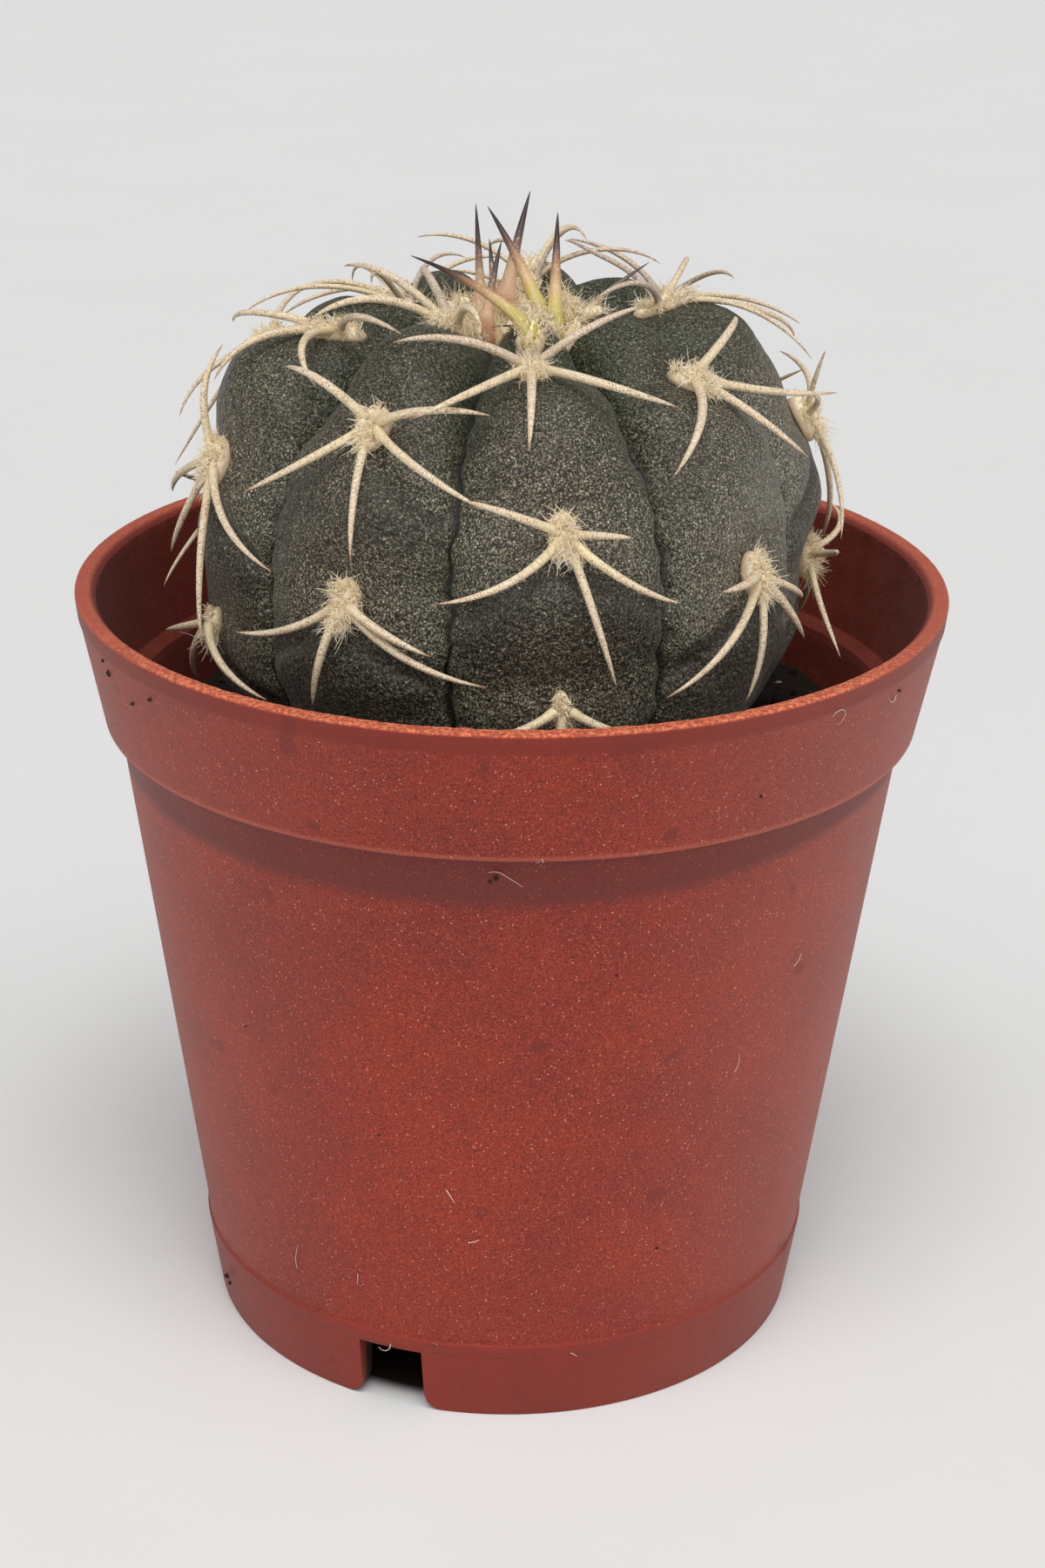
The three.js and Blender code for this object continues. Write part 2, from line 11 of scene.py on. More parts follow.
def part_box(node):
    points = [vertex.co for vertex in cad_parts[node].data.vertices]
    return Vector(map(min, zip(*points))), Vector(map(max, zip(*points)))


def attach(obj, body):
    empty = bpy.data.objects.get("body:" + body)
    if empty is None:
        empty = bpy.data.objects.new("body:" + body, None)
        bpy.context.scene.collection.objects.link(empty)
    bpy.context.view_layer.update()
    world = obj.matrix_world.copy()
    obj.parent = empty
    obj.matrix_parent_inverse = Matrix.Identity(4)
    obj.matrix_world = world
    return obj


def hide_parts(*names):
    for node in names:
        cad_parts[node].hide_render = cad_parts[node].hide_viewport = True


bl_info = {
    "name": "Potted Round Cactus",
    "version": (1, 0, 0),
    "blender": (4, 5, 0),
    "location": "View3D > Sidebar > Cactus",
    "description": "Builds a spiny globe cactus in a terracotta-coloured nursery pot",
    "category": "Object",
}

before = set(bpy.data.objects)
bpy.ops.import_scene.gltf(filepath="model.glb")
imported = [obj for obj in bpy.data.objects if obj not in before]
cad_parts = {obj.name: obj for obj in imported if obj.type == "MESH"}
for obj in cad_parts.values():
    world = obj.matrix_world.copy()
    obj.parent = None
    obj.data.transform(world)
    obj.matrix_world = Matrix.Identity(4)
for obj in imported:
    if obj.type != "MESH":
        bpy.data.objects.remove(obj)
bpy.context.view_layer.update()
MM = 0.001

# ---- shape of the plant

STEM_CENTRE = np.array([-0.3, 0.0, 52.0])
STEM_RADIUS = 19.1
STEM_RISE = 17.8
STEM_DEPTH = 17.0
SHOULDER_POWER = 2.35
HAUNCH_POWER = 2.2
HUMP_HEIGHT = 0.5
CROWN_DIP = 3.4
CROWN_DIP_SPREAD = 23.0
CROWN_HEIGHT = STEM_RISE - CROWN_DIP
RIB_COUNT = 9
RIB_PITCH = 360 / RIB_COUNT
FIRST_RIB_AZIMUTH = 10
RIB_UNEVENNESS = 2.2
# Where the globe bulges or falls in: azimuth, polar angle, height.
SWELLINGS = [(-84, 57, 1.6), (-84, 102, 0.5), (-114, 34, -1.2), (94, 63, 0.6), (118, 37, 0.7), (94, 103, -0.7),
             (135, 30, -0.4)]
SWELLING_WIDTH = 24
SWELLING_LENGTH = 13

FELT_RADIUS = 1.2
CLEARANCE = 0.3
SPINE_RADIUS = 0.46
YOUNG_SPINE_RADIUS = 0.5
SPINE_MIDDLE_HEIGHT = 1.15
ROOT_HEIGHT = 0.75
ROOT_OFFSET = 0.55
ARC_RADIUS = 20
SPINE_GAP = 0.32
CLEAR_SAMPLES = 14
ROOT_SAMPLES = 3
# How a spine that touches something is moved: lifted in steps, swung by so many degrees, then shortened.
LIFT_STEP = 0.3
LIFTS = 5
YOUNG_LIFT_LIMIT = 4
SWING_STEP = 9
SWINGS = (0, 1, -1, 2, -2)
SHARES = (1, 0.8, 0.6)
POT_HEIGHT = 49.75
POT_CLEAR_RADIUS = 23.3
SOIL_CLEAR_Z = 40.2

# One row a rib, from the one nearest the front round towards +X. Each cushion has its polar angle, its turn off the
# rib, and spines where they differ from the plain star: clock, reach, height of the tip, sideways curl.
RIBS = [
    [(38.5, -4, [(224, 8.3, 2.8, 14), (186, 7, 1.4, 0), (131, 9, 0.9, -28), (67, 7, 2.3, 0), (278, 8, 1.2, 0)]),
     (71, 0, [(290, 6, 1.2, 0), (96, 3.5, 1.4, 0), (229, 8, 2.2, 24), (163, 9, 1.9, 0), (133, 8, 1, -17)]),
     (102, 0, [(255, 5, 1.2, 0), (110, 5, 1.2, 0), (185, 5, 1.2, 0)])],
    [(46.5, 0, [(67, 6.5, 1, 0), (134, 8, 3.2, -20), (172, 7.5, 2.3, -20), (228, 9, 2, 10)]),
     (83.5, -1, [(273, 5, 1.6, 0), (230, 10, 1.4, 10), (196, 7.5, 1.4, 0), (124, 4, 0.9, 0), (150, 5, 1.8, 0)])],
    [(31.5, 4, [(40, 10.5, 1.4, 25), (309, 9.5, 0.7, 0), (103, 9, 1, 0), (195, 9, 1.8, 5), (172, 11, 2.6, -35)]),
     (65.5, -1, [(295, 6, 1.8, 0), (330, 4, 3, 0), (163, 11.5, 1.9, -17), (205, 8, 1.5, 10), (70, 7, 1.2, 0)]),
     (92, -1, [(229, 7.5, 3, 12), (140, 8, 1.6, 0), (290, 6, 1.2, 0), (75, 6, 1.2, 0)])],
    [(44, 0, None), (74, 0, None), (103, 0, None)],
    [(26, 0, [(268, 8.5, 0.5, 0), (300, 4.5, 0.8, 0), (85, 7.5, 1.8, 0), (200, 6, 2, 0), (145, 7, 1.5, 0)]),
     (57, 0, None),
     (88, 0, None)],
    [(49, -3, [(290, 6.5, 1.2, 0), (92, 9, 1.4, 10), (180, 7, 1.5, 0), (235, 8, 1.6, 14), (135, 8, 1.6, -14)]),
     (79, 0, None),
     (105, 0, None)],
    [(26, 0, [(226, 9, 0.9, 0), (140, 9, 1.1, 0), (74, 7.5, 1.2, 0), (315, 5.5, 1, 0), (180, 7, 1, 0)]),
     (56, 0, [(165, 9.5, 2.9, 0), (197, 8.5, 1.2, 0), (130, 8, 1.5, -14), (237, 8, 1.5, 14), (292, 6.5, 1.5, 0)]),
     (87, 0, None)],
    [(37.5, 3, [(225, 7.3, 0.9, 20), (175, 7, 1.6, 0), (125, 8.5, 1.6, -15), (78, 9, 1.6, 0)]),
     (69.5, 2, [(355, 6, 1.7, 0), (240, 8, 1.6, 0), (193, 7.5, 1.5, 18), (153, 11, 1.9, 8), (117, 11, 1.7, -14)]),
     (99.5, 2, [(250, 6, 2.4, 0), (220, 7, 1.8, 0), (105, 9, 1.3, 0)])],
    [(24.5, 2, [(280, 8, 1.5, 0), (316, 9.5, 1.3, 0), (230, 7.8, 1.2, 0), (118, 5, 0.9, 10)]),
     (54.5, 2, [(298, 5.5, 1.4, -14), (75, 7.2, 0.5, 0), (221, 8, 2, 14), (168, 8, 1.4, 4), (120, 9, 1.7, -10)]),
     (85, 2, [(234, 7, 2, 20), (193, 6.5, 1.3, 0), (108, 6.5, 1.4, 0), (119, 10, 1.2, -11)])],
]
CUSHION_NAMES = ["upper", "middle", "lower"]
PLAIN_STAR = [(180, 7.5, 1.6, 0), (230, 8.5, 1.7, 14), (130, 8.5, 1.7, -14), (292, 7, 1.5, 0), (68, 7, 1.5, 0)]
STAR_SPREAD = (9, 1, 0.4)
STAR_SEED = 7

# Young spines of the crown: root x, root y, tip x, tip y, tip z, how far the colour has aged, radius at the root,
# and how far right and forward of that the root comes out of the felt.
YOUNG_SPINES = [
    (-2.2, 0.4, -2.5, -0.3, 73.45, 0.55, 0.36, 0.2, 2.2),
    (-1.3, 1.4, -1.7, 3.5, 70.5, 0.45, 0.3, 0, 0),
    (-1.8, -4, -0.9, -2.5, 71.7, 0.6, 0.38, 0, 0.3),
    (-0.6, 1, 0.8, 3.4, 73.5, 0.4, 0.5, -0.1, 1),
    (1.6, -1.8, -1.8, -0.7, 73.35, 0.08, 0.5, -0.2, 2.6),
    (2.4, -2.7, 2.45, -0.7, 73.05, 0.0, 0.5, -0.2, 2.4),
    (1.4, -6, -6.4, -3, 70.8, 0.14, 0.42, -0.6, 2.2),
    (3.1, -3.8, -1.5, -8, 67.7, 0.9, 0.18, -0.4, 1.2),
    (3.2, -3.5, 8.05, -1.5, 70.25, 1.0, 0.34, -0.3, 1.4),
]


def smooth(x, low, high):
    t = np.clip((x - low) / (high - low), 0, 1)
    return t * t * (3 - 2 * t)


def bell(x, spread):
    return np.exp(-((x / spread) ** 2))


def unit(way):
    """A direction, or each row of a list of them, at length one."""
    return way / (np.linalg.norm(way) if way.ndim == 1 else np.linalg.norm(way, axis=1)[:, None])


def globe_radius(polar, azimuth):
    """The smooth, slightly uneven globe that the ribs' highest humps reach."""
    polar, azimuth = np.asarray(polar, float), np.asarray(azimuth, float)
    across = np.abs(np.sin(np.radians(polar))) / STEM_RADIUS
    along = np.cos(np.radians(polar))
    depth = np.where(along > 0, STEM_RISE, STEM_DEPTH)
    power = np.where(along > 0, SHOULDER_POWER, HAUNCH_POWER)
    radius = (across**power + (np.abs(along) / depth) ** power) ** (-1 / power)
    uneven = 0
    for side, height_angle, height in SWELLINGS:
        aside = (azimuth - side + 180) % 360 - 180
        uneven = uneven + height * bell(aside, SWELLING_WIDTH) * bell(polar - height_angle, SWELLING_LENGTH)
    dip = CROWN_DIP * bell(polar, CROWN_DIP_SPREAD)
    return radius - dip + 0.8 * HUMP_HEIGHT + uneven * smooth(polar, 0, 8)


def azimuth_of(place):
    even = RIB_PITCH * np.asarray(place, float)
    return FIRST_RIB_AZIMUTH + even + RIB_UNEVENNESS * np.sin(np.radians(even))


def rib_place_of(azimuth):
    place = (np.asarray(azimuth, float) - FIRST_RIB_AZIMUTH) / RIB_PITCH
    for _ in range(6):
        place = place - (azimuth_of(place) - azimuth) / RIB_PITCH
    return place


def skin_relief(polar, azimuth):
    """Depth of the skin under the globe, how far down the rib's flank a point is, and how far onto a chin."""
    polar, azimuth = np.broadcast_arrays(np.asarray(polar, float), np.asarray(azimuth, float))
    place = rib_place_of(azimuth)
    rib = np.floor(place + 0.5)
    flank = np.abs(place - rib) * 2
    valley = 0.4 + 2.2 * smooth(polar, 6, 22) * (1 - 0.85 * smooth(polar, 35, 85))
    crease = 0.9 * smooth(polar, 8, 40) * (1 - 0.5 * smooth(polar, 80, 125))
    chin = np.zeros_like(polar)
    dimple = np.zeros_like(polar)
    own = rib.astype(int) % RIB_COUNT
    for number, row in enumerate(RIBS):
        here = own == number
        for cushion, _, _ in row:
            deep = 1.7 - 1.35 * smooth(cushion, 38, 60)
            chin = np.where(here, np.maximum(chin, bell(polar - cushion - 13, 8)), chin)
            pit = deep * bell(polar - cushion + 3, 5.5) * bell(flank, 0.85)
            dimple = np.where(here, np.maximum(dimple, pit), dimple)
    detail = valley * flank**2 + crease * flank**7 - HUMP_HEIGHT * chin * (1 - flank**2) + dimple
    depth = HUMP_HEIGHT + detail * smooth(polar, 0, 8) * (1 - smooth(polar, 140, 176))
    return depth, flank, chin


def skin_radius(polar, azimuth):
    return globe_radius(polar, azimuth) - skin_relief(polar, azimuth)[0]


def direction(polar, azimuth):
    p, a = np.radians(polar), np.radians(azimuth)
    return np.stack([np.sin(p) * np.sin(a), -np.sin(p) * np.cos(a), np.cos(p) + 0 * a], -1)


def angles_of(way):
    polar = np.degrees(np.arccos(np.clip(way[..., 2], -1, 1)))
    return polar, np.degrees(np.arctan2(way[..., 0], -way[..., 1]))


def skin_along(way):
    return skin_radius(*angles_of(way))


def globe_along(way):
    return globe_radius(*angles_of(way))


def from_centre(way, radius):
    return STEM_CENTRE + way * np.asarray(radius)[..., None]


def compass(centre):
    """East and north on the globe at one direction: east is anticlockwise seen from above, north is to the crown."""
    azimuth = math.radians(angles_of(centre)[1])
    east = np.array([math.cos(azimuth), math.sin(azimuth), 0.0])
    return east, np.cross(centre, east)


# ---- course of each spine


def seeded_random(seed):
    state = seed
    while True:
        state = state * 16807 % 2147483647
        yield state / 2147483647


def star_curve(centre, spine, lift):
    """A spine's middle line: it leaves the cushion along a great circle and keeps a set height over the globe."""
    clock, reach, tip, curl = spine
    east, north = compass(centre)
    root = float(skin_along(centre) - globe_along(centre)) + ROOT_HEIGHT

    def curve(t):
        t = np.asarray(t, float)
        bearing = np.radians(clock + curl * (t - 0.35))[..., None]
        sideways = np.cos(bearing) * north + np.sin(bearing) * east
        arc = ((ROOT_OFFSET + (reach - ROOT_OFFSET) * t) / ARC_RADIUS)[..., None]
        way = np.cos(arc) * centre + np.sin(arc) * sideways
        middle = 4 * t * (1 - t) * (SPINE_MIDDLE_HEIGHT + lift)
        height = root * (1 - t) * (1 - 2 * t) + middle + (tip + lift) * t * (2 * t - 1)
        return from_centre(way, globe_along(way) + height)

    return curve


def young_curve(spine, lift):
    """A young spine rises from the crown's felt and leans towards its tip as it goes."""
    root_x, root_y, tip_x, tip_y, tip_z = spine[:5]
    way = unit(np.array([root_x - STEM_CENTRE[0], root_y, CROWN_HEIGHT]))
    root = from_centre(way, skin_along(way) + ROOT_HEIGHT)
    tip = np.array([tip_x, tip_y, tip_z])
    knee = root + 0.35 * (tip - root)
    knee[2] += 0.12 * np.linalg.norm(tip - root) + lift

    def curve(t):
        t = np.asarray(t, float)[..., None]
        return root * (1 - t) ** 2 + knee * 2 * t * (1 - t) + tip * t**2

    return curve


def samples_of(curve, radius):
    t = np.arange(2, CLEAR_SAMPLES + 1) / CLEAR_SAMPLES
    return np.column_stack([curve(t), radius * (1 - t**1.8)])


def clears_skin(samples):
    arm = samples[:, :3] - STEM_CENTRE
    length = np.linalg.norm(arm, axis=1)
    return bool(np.all(length - skin_along(arm / length[:, None]) > samples[:, 3] + SPINE_GAP))


def is_clear(samples, taken):
    if not clears_skin(samples[ROOT_SAMPLES:]):
        return False
    outward = np.hypot(samples[:, 0], samples[:, 1])
    if np.any(samples[:, 2] - samples[:, 3] < SOIL_CLEAR_Z):
        return False
    low = samples[:, 2] < POT_HEIGHT + 1
    if np.any(low & (outward + samples[:, 3] > POT_CLEAR_RADIUS)):
        return False
    apart = np.linalg.norm(samples[:, None, :3] - taken[None, :, :3], axis=2)
    return bool(np.all(apart >= samples[:, None, 3] + taken[None, :, 3] + SPINE_GAP))


def settle(centre, spine, taken):
    """The first place that passes clear of all that is there: as it grew, then lifted, swung or shortened."""
    clock, reach, tip, curl = spine
    for share in SHARES:
        for swing in SWINGS:
            for step in range(LIFTS):
                trial = (clock + swing * SWING_STEP, reach * share, tip, curl)
                curve = star_curve(centre, trial, step * LIFT_STEP)
                samples = samples_of(curve, SPINE_RADIUS)
                if is_clear(samples, taken):
                    return curve, samples, trial
    return None


def list_cushions():
    draw = seeded_random(STAR_SEED)
    cushions = []
    for rib, row in enumerate(RIBS):
        for index, (polar, turn, spines) in enumerate(row):
            star = []
            for clock, reach, tip, curl in PLAIN_STAR:
                spread = [amount * (2 * next(draw) - 1) for amount in STAR_SPREAD]
                star.append((clock + spread[0], reach + spread[1], tip + spread[2], curl))
            centre = direction(polar, float(azimuth_of(rib)) + turn)
            name = f"rib{rib + 1}_{CUSHION_NAMES[index]}"
            cushions.append({"name": name, "centre": centre, "polar": polar, "spines": spines or star})
    return cushions


def settled_plant():
    """Every young spine's curve, and each cushion with its settled spines."""
    young = []
    taken = []
    for spine in YOUNG_SPINES:
        lift = 0
        samples = samples_of(young_curve(spine, lift), YOUNG_SPINE_RADIUS)
        while not clears_skin(samples[ROOT_SAMPLES:]) and lift < YOUNG_LIFT_LIMIT:
            lift += LIFT_STEP
            samples = samples_of(young_curve(spine, lift), YOUNG_SPINE_RADIUS)
        seen = (spine[0] + spine[7], spine[1] - spine[8], *spine[2:5])
        young.append((young_curve(seen, lift), spine[5], spine[6]))
        taken.append((None, samples))
    cushions = list_cushions()
    for cushion in cushions:
        point = from_centre(cushion["centre"], skin_along(cushion["centre"]))
        taken.append((cushion["name"], np.array([[*point, FELT_RADIUS]])))
    for cushion in cushions:
        cushion["curves"] = []
        for spine in cushion["spines"]:
            others = np.vstack([rows for owner, rows in taken if owner != cushion["name"]])
            found = settle(cushion["centre"], spine, others)
            if found:
                cushion["curves"].append((found[0], found[2]))
                taken.append((cushion["name"], found[1]))
    return young, cushions


# ---- mesh helpers


def deselect():
    if bpy.context.object and bpy.context.object.mode != "OBJECT":
        bpy.ops.object.mode_set(mode="OBJECT")
    bpy.ops.object.select_all(action="DESELECT")


def only(piece):
    deselect()
    piece.select_set(True)
    bpy.context.view_layer.objects.active = piece


def start(primitive, **settings):
    """Adds a primitive to start from, and brings its origin to the middle of the scene."""
    deselect()
    primitive(**settings)
    bpy.ops.object.transform_apply(location=True)
    return bpy.context.object


def apply_modifier(piece, kind, **settings):
    only(piece)
    modifier = piece.modifiers.new(kind.title(), kind)
    for key, value in settings.items():
        setattr(modifier, key, value)
    bpy.ops.object.modifier_apply(modifier=modifier.name)


def coordinates(piece):
    flat = np.empty(len(piece.data.vertices) * 3)
    piece.data.vertices.foreach_get("co", flat)
    return flat.reshape(-1, 3)


def place_vertices(piece, points):
    piece.data.vertices.foreach_set("co", np.asarray(points, float).ravel())
    piece.data.update()


def paint(piece, name, values):
    """Keeps three numbers for each vertex, which the piece's material reads."""
    layer = piece.data.attributes.new(name, "FLOAT_COLOR", "POINT")
    rgba = np.ones((len(values), 4))
    rgba[:, :3] = values
    layer.data.foreach_set("color", rgba.ravel())


def new_mesh(name, points, faces):
    mesh = bpy.data.meshes.new(name)
    mesh.from_pydata([tuple(p) for p in points], [], [tuple(f) for f in faces])
    piece = bpy.data.objects.new(name, mesh)
    bpy.context.scene.collection.objects.link(piece)
    return piece


def join(first, *others):
    """Makes the others part of the first."""
    only(first)
    for piece in others:
        piece.select_set(True)
    bpy.ops.object.join()
    return first


def take(model):
    """A model's points and faces, ready to be copied. The model itself goes."""
    points = coordinates(model)
    faces = [tuple(polygon.vertices) for polygon in model.data.polygons]
    bpy.data.objects.remove(model)
    return points, faces


def leave_closed():
    """Turns all faces outward and leaves edit mode."""
    bpy.ops.mesh.select_all(action="SELECT")
    bpy.ops.mesh.normals_make_consistent(inside=False)
    bpy.ops.object.mode_set(mode="OBJECT")


def knobs(at, *parts):
    """Uneven height at a point: noise that comes so often, times so high, summed over its parts."""
    return sum(noise.noise(at * often) * high for often, high in parts)


def dented(lump, depth, often, shift):
    """The lump's points, swollen and dented by noise."""
    return lump * np.array([1 + depth * noise.noise(Vector(p) * often + Vector(shift)) for p in lump])[:, None]


def gauss(chance, *spreads):
    """A random step of the given spread along each axis."""
    return np.array([chance.gauss(0, spread) if spread else 0 for spread in spreads])


def finish_piece(piece, material, *nodes, slot, angle=None):
    """Sets the finish, smooths the shading, hangs the piece on the root body and hides the parts it replaces. Most
    operators end with it.
    """
    only(piece)
    bpy.ops.object.transform_apply(location=True, rotation=True, scale=True)
    if angle is None:
        bpy.ops.object.shade_smooth()
    else:
        bpy.ops.object.shade_smooth_by_angle(angle=math.radians(angle))
    if material:
        piece.data.materials.clear()
        piece.data.materials.append(material)
    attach(piece, "root")
    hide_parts(*nodes)
    return {"FINISHED"}


def turned(name, profile, sides):
    """A closed ring wall: a filled ring is extruded and resized along the profile, then capped."""
    radius, z = profile[0]
    piece = start(bpy.ops.mesh.primitive_circle_add, vertices=sides, radius=radius * MM, fill_type="NGON",
                  location=(0, 0, z * MM))
    piece.name = piece.data.name = name
    bpy.ops.object.mode_set(mode="EDIT")
    bpy.ops.mesh.select_mode(type="EDGE")
    bpy.ops.mesh.select_all(action="SELECT")
    bpy.ops.mesh.region_to_loop()
    for (r0, z0), (r1, z1) in zip(profile, profile[1:]):
        bpy.ops.mesh.extrude_edges_move(TRANSFORM_OT_translate={"value": (0, 0, (z1 - z0) * MM)})
        bpy.ops.transform.resize(value=(r1 / r0, r1 / r0, 1), center_override=(0, 0, z1 * MM))
    bpy.ops.mesh.edge_face_add()
    leave_closed()
    return piece


def rod_model(sides, rings):
    """A straight open rod from z 0 to 1 at unit radius, as points and faces."""
    rod = start(bpy.ops.mesh.primitive_cylinder_add, vertices=sides, radius=1, depth=1, end_fill_type="NOTHING",
                location=(0, 0, 0.5))
    bpy.ops.object.mode_set(mode="EDIT")
    bpy.ops.mesh.select_mode(type="EDGE")
    bpy.ops.mesh.select_all(action="DESELECT")
    bpy.ops.object.mode_set(mode="OBJECT")
    points = coordinates(rod)
    for edge in rod.data.edges:
        a, b = edge.vertices
        edge.select = bool(abs(points[a][2] - points[b][2]) > 0.5)
    bpy.ops.object.mode_set(mode="EDIT")
    bpy.ops.mesh.subdivide(number_cuts=rings - 1)
    bpy.ops.object.mode_set(mode="OBJECT")
    return take(rod)


def ball_model(segments, rings):
    return take(start(bpy.ops.mesh.primitive_uv_sphere_add, segments=segments, ring_count=rings, radius=1))


class Sheaf:
    """Gathers copies of models into one mesh, with a paint layer."""

    def __init__(self):
        self.points, self.faces, self.values, self.materials = [], [], [], []
        self.count = 0

    def add(self, points, faces, columns, material=0):
        """Adds one copy. Its paint is three columns, each a number or one number a point."""
        self.points.append(points)
        self.faces.extend(tuple(i + self.count for i in face) for face in faces)
        self.values.append(np.column_stack([np.broadcast_to(column, len(points)) for column in columns]))
        self.materials.extend([material] * len(faces))
        self.count += len(points)

    def piece(self, name, layer, materials):
        made = new_mesh(name, np.vstack(self.points) * MM, self.faces)
        for material in materials:
            made.data.materials.append(material)
        made.data.polygons.foreach_set("material_index", self.materials)
        paint(made, layer, np.vstack(self.values))
        return made


SCALE_PITCH = 0.19


def bend_rod(model, curve, out, width, scale_height=0, phase=0):
    """Copies a straight rod along a curve. width(t) is its radius, and shallow scales may ring it.

    Returns its points, how far along each one is, and the scales."""
    rod = model[0]
    t = rod[:, 2]
    middle = curve(t)
    ahead = unit(curve(np.minimum(t + 0.01, 1)) - curve(np.maximum(t - 0.01, 0)))
    up = unit(out - ahead * (ahead @ out)[:, None])
    side = np.cross(up, ahead)
    turn = np.arctan2(rod[:, 1], rod[:, 0])
    scales = np.zeros_like(t)
    if scale_height:
        length = np.linalg.norm(np.diff(curve(np.linspace(0, 1, 40)), axis=0), axis=1).sum()
        wave = 2 * np.pi * t * length / SCALE_PITCH + 0.8 * np.sin(9 * t + phase)
        scales = 0.5 + 0.25 * (np.sin(wave + 3 * turn + phase) + np.sin(wave - 2 * turn))
    radius = width(t) * (1 + scale_height * (scales - 0.5) * (1 - smooth(t, 0.88, 1)))
    points = middle + up * (rod[:, 0] * radius)[:, None] + side * (rod[:, 1] * radius)[:, None]
    return points, t, scales


# ---- node helpers


class Value:
    """What a node gives out. Numbers can be added, multiplied and spread over a range."""

    def __init__(self, finish, socket):
        self.finish, self.socket = finish, socket

    def __add__(self, other):
        return self.finish.math("ADD", self, other)

    def __mul__(self, other):
        return self.finish.math("MULTIPLY", self, other)

    def span(self, low, high, out_low=0.0, out_high=1.0):
        """Goes smoothly from out_low to out_high while the value goes from low to high."""
        inputs = dict(enumerate((self, low, high, out_low, out_high)))
        return self.finish.node("MapRange", inputs, interpolation_type="SMOOTHSTEP")

    def beside(self, name):
        """Another output of the same node."""
        return Value(self.finish, self.socket.node.outputs[name])


class Finish:
    """A material whose nodes are added one by one."""

    def __init__(self, name):
        self.material = bpy.data.materials.new(name)
        self.material.use_nodes = True
        self.tree = self.material.node_tree
        self.object = self.node("TexCoord", {}, "Object")

    def node(self, kind, inputs, output=0, **settings):
        """Adds one node, fills its inputs with numbers, colours or values, and gives one output."""
        made = self.tree.nodes.new("ShaderNode" + kind)
        for key, setting in settings.items():
            setattr(made, key, setting)
        for key, value in inputs.items():
            self.put(made.inputs[key], value)
        return Value(self, made.outputs[output])

    def put(self, socket, value):
        if isinstance(value, Value):
            self.tree.links.new(value.socket, socket)
        else:
            socket.default_value = (*value, 1) if socket.type == "RGBA" else value

    def math(self, operation, a, b=0.0, clamp=False):
        return self.node("Math", {0: a, 1: b}, operation=operation, use_clamp=clamp)

    def mix(self, share, below, above):
        return self.node("Mix", {"Factor": share, 6: below, 7: above}, 2, data_type="RGBA", clamp_factor=True)

    def over(self, base, *coats):
        """Lays coats over a base one after the other. Each coat has its share and its colour."""
        for share, colour in coats:
            base = self.mix(share, base, colour)
        return base

    def ramp(self, value, *stops):
        made = self.node("ValToRGB", {0: value})
        elements = made.socket.node.color_ramp.elements
        while len(elements) < len(stops):
            elements.new(0.5)
        for element, (position, colour) in zip(elements, stops):
            element.position = position
            element.color = (*colour, 1)
        return made

    def noise(self, size, detail, roughness, seed=0.0):
        """Cloudy noise whose blobs are about size millimetres across."""
        source = self.object
        if seed:
            source = self.node("Mapping", {"Vector": source, "Location": (seed, seed * 0.7, -seed)})
        inputs = {"Vector": source, "Scale": 1 / (size * MM), "Detail": detail, "Roughness": roughness}
        return self.node("TexNoise", inputs, "Fac", noise_dimensions="3D")

    def cells(self, size, feature):
        """Distance to the middle of the nearest of many cells, about size millimetres across."""
        return self.node("TexVoronoi", {"Vector": self.object, "Scale": 1 / (size * MM)}, "Distance", feature=feature)

    def specks(self, size, share, radius):
        """Scattered dots: a share of the cells of a given size hold a dot."""
        cells = self.cells(size, "F1")
        draw, reach, _ = self.parts("Color", cells.beside("Color"))
        dot = self.math("SUBTRACT", reach * radius, cells).span(0.0, 0.12)
        return dot * self.math("LESS_THAN", draw, share)

    def either(self, a, b):
        """The sum of two shares, at most one."""
        return self.math("ADD", a, b, clamp=True)

    def parts(self, kind, value):
        """The three numbers in a vector (XYZ) or a colour (Color)."""
        split = self.node("Separate" + kind, {0: value})
        return [Value(self, socket) for socket in split.socket.node.outputs[:3]]

    def layer(self, name):
        """The three numbers painted on the piece's vertices."""
        return self.parts("Color", self.node("Attribute", {}, "Color", attribute_name=name))

    def length(self, vector):
        return self.node("VectorMath", {0: vector}, "Value", operation="LENGTH")

    def bump(self, height, distance, strength=1.0, normal=None):
        inputs = {"Distance": distance * MM, "Strength": strength, "Height": height}
        if normal:
            inputs["Normal"] = normal
        return self.node("Bump", inputs)

    def done(self, colour, roughness, normal, **constants):
        shader = self.tree.nodes["Principled BSDF"]
        inputs = {"Base_Color": colour, "Roughness": roughness, "Normal": normal, **constants}
        for name, value in inputs.items():
            self.put(shader.inputs[name.replace("_", " ")], value)
        return self.material


# ---- settings


def colour_prop(name, description, default):
    return bpy.props.FloatVectorProperty(
        name=name, description=description, subtype="COLOR", size=3, min=0, max=1, default=default
    )


def length_prop(name, description, default_mm):
    return bpy.props.FloatProperty(
        name=name, description=description, default=default_mm * MM, unit="LENGTH", subtype="DISTANCE", precision=5
    )


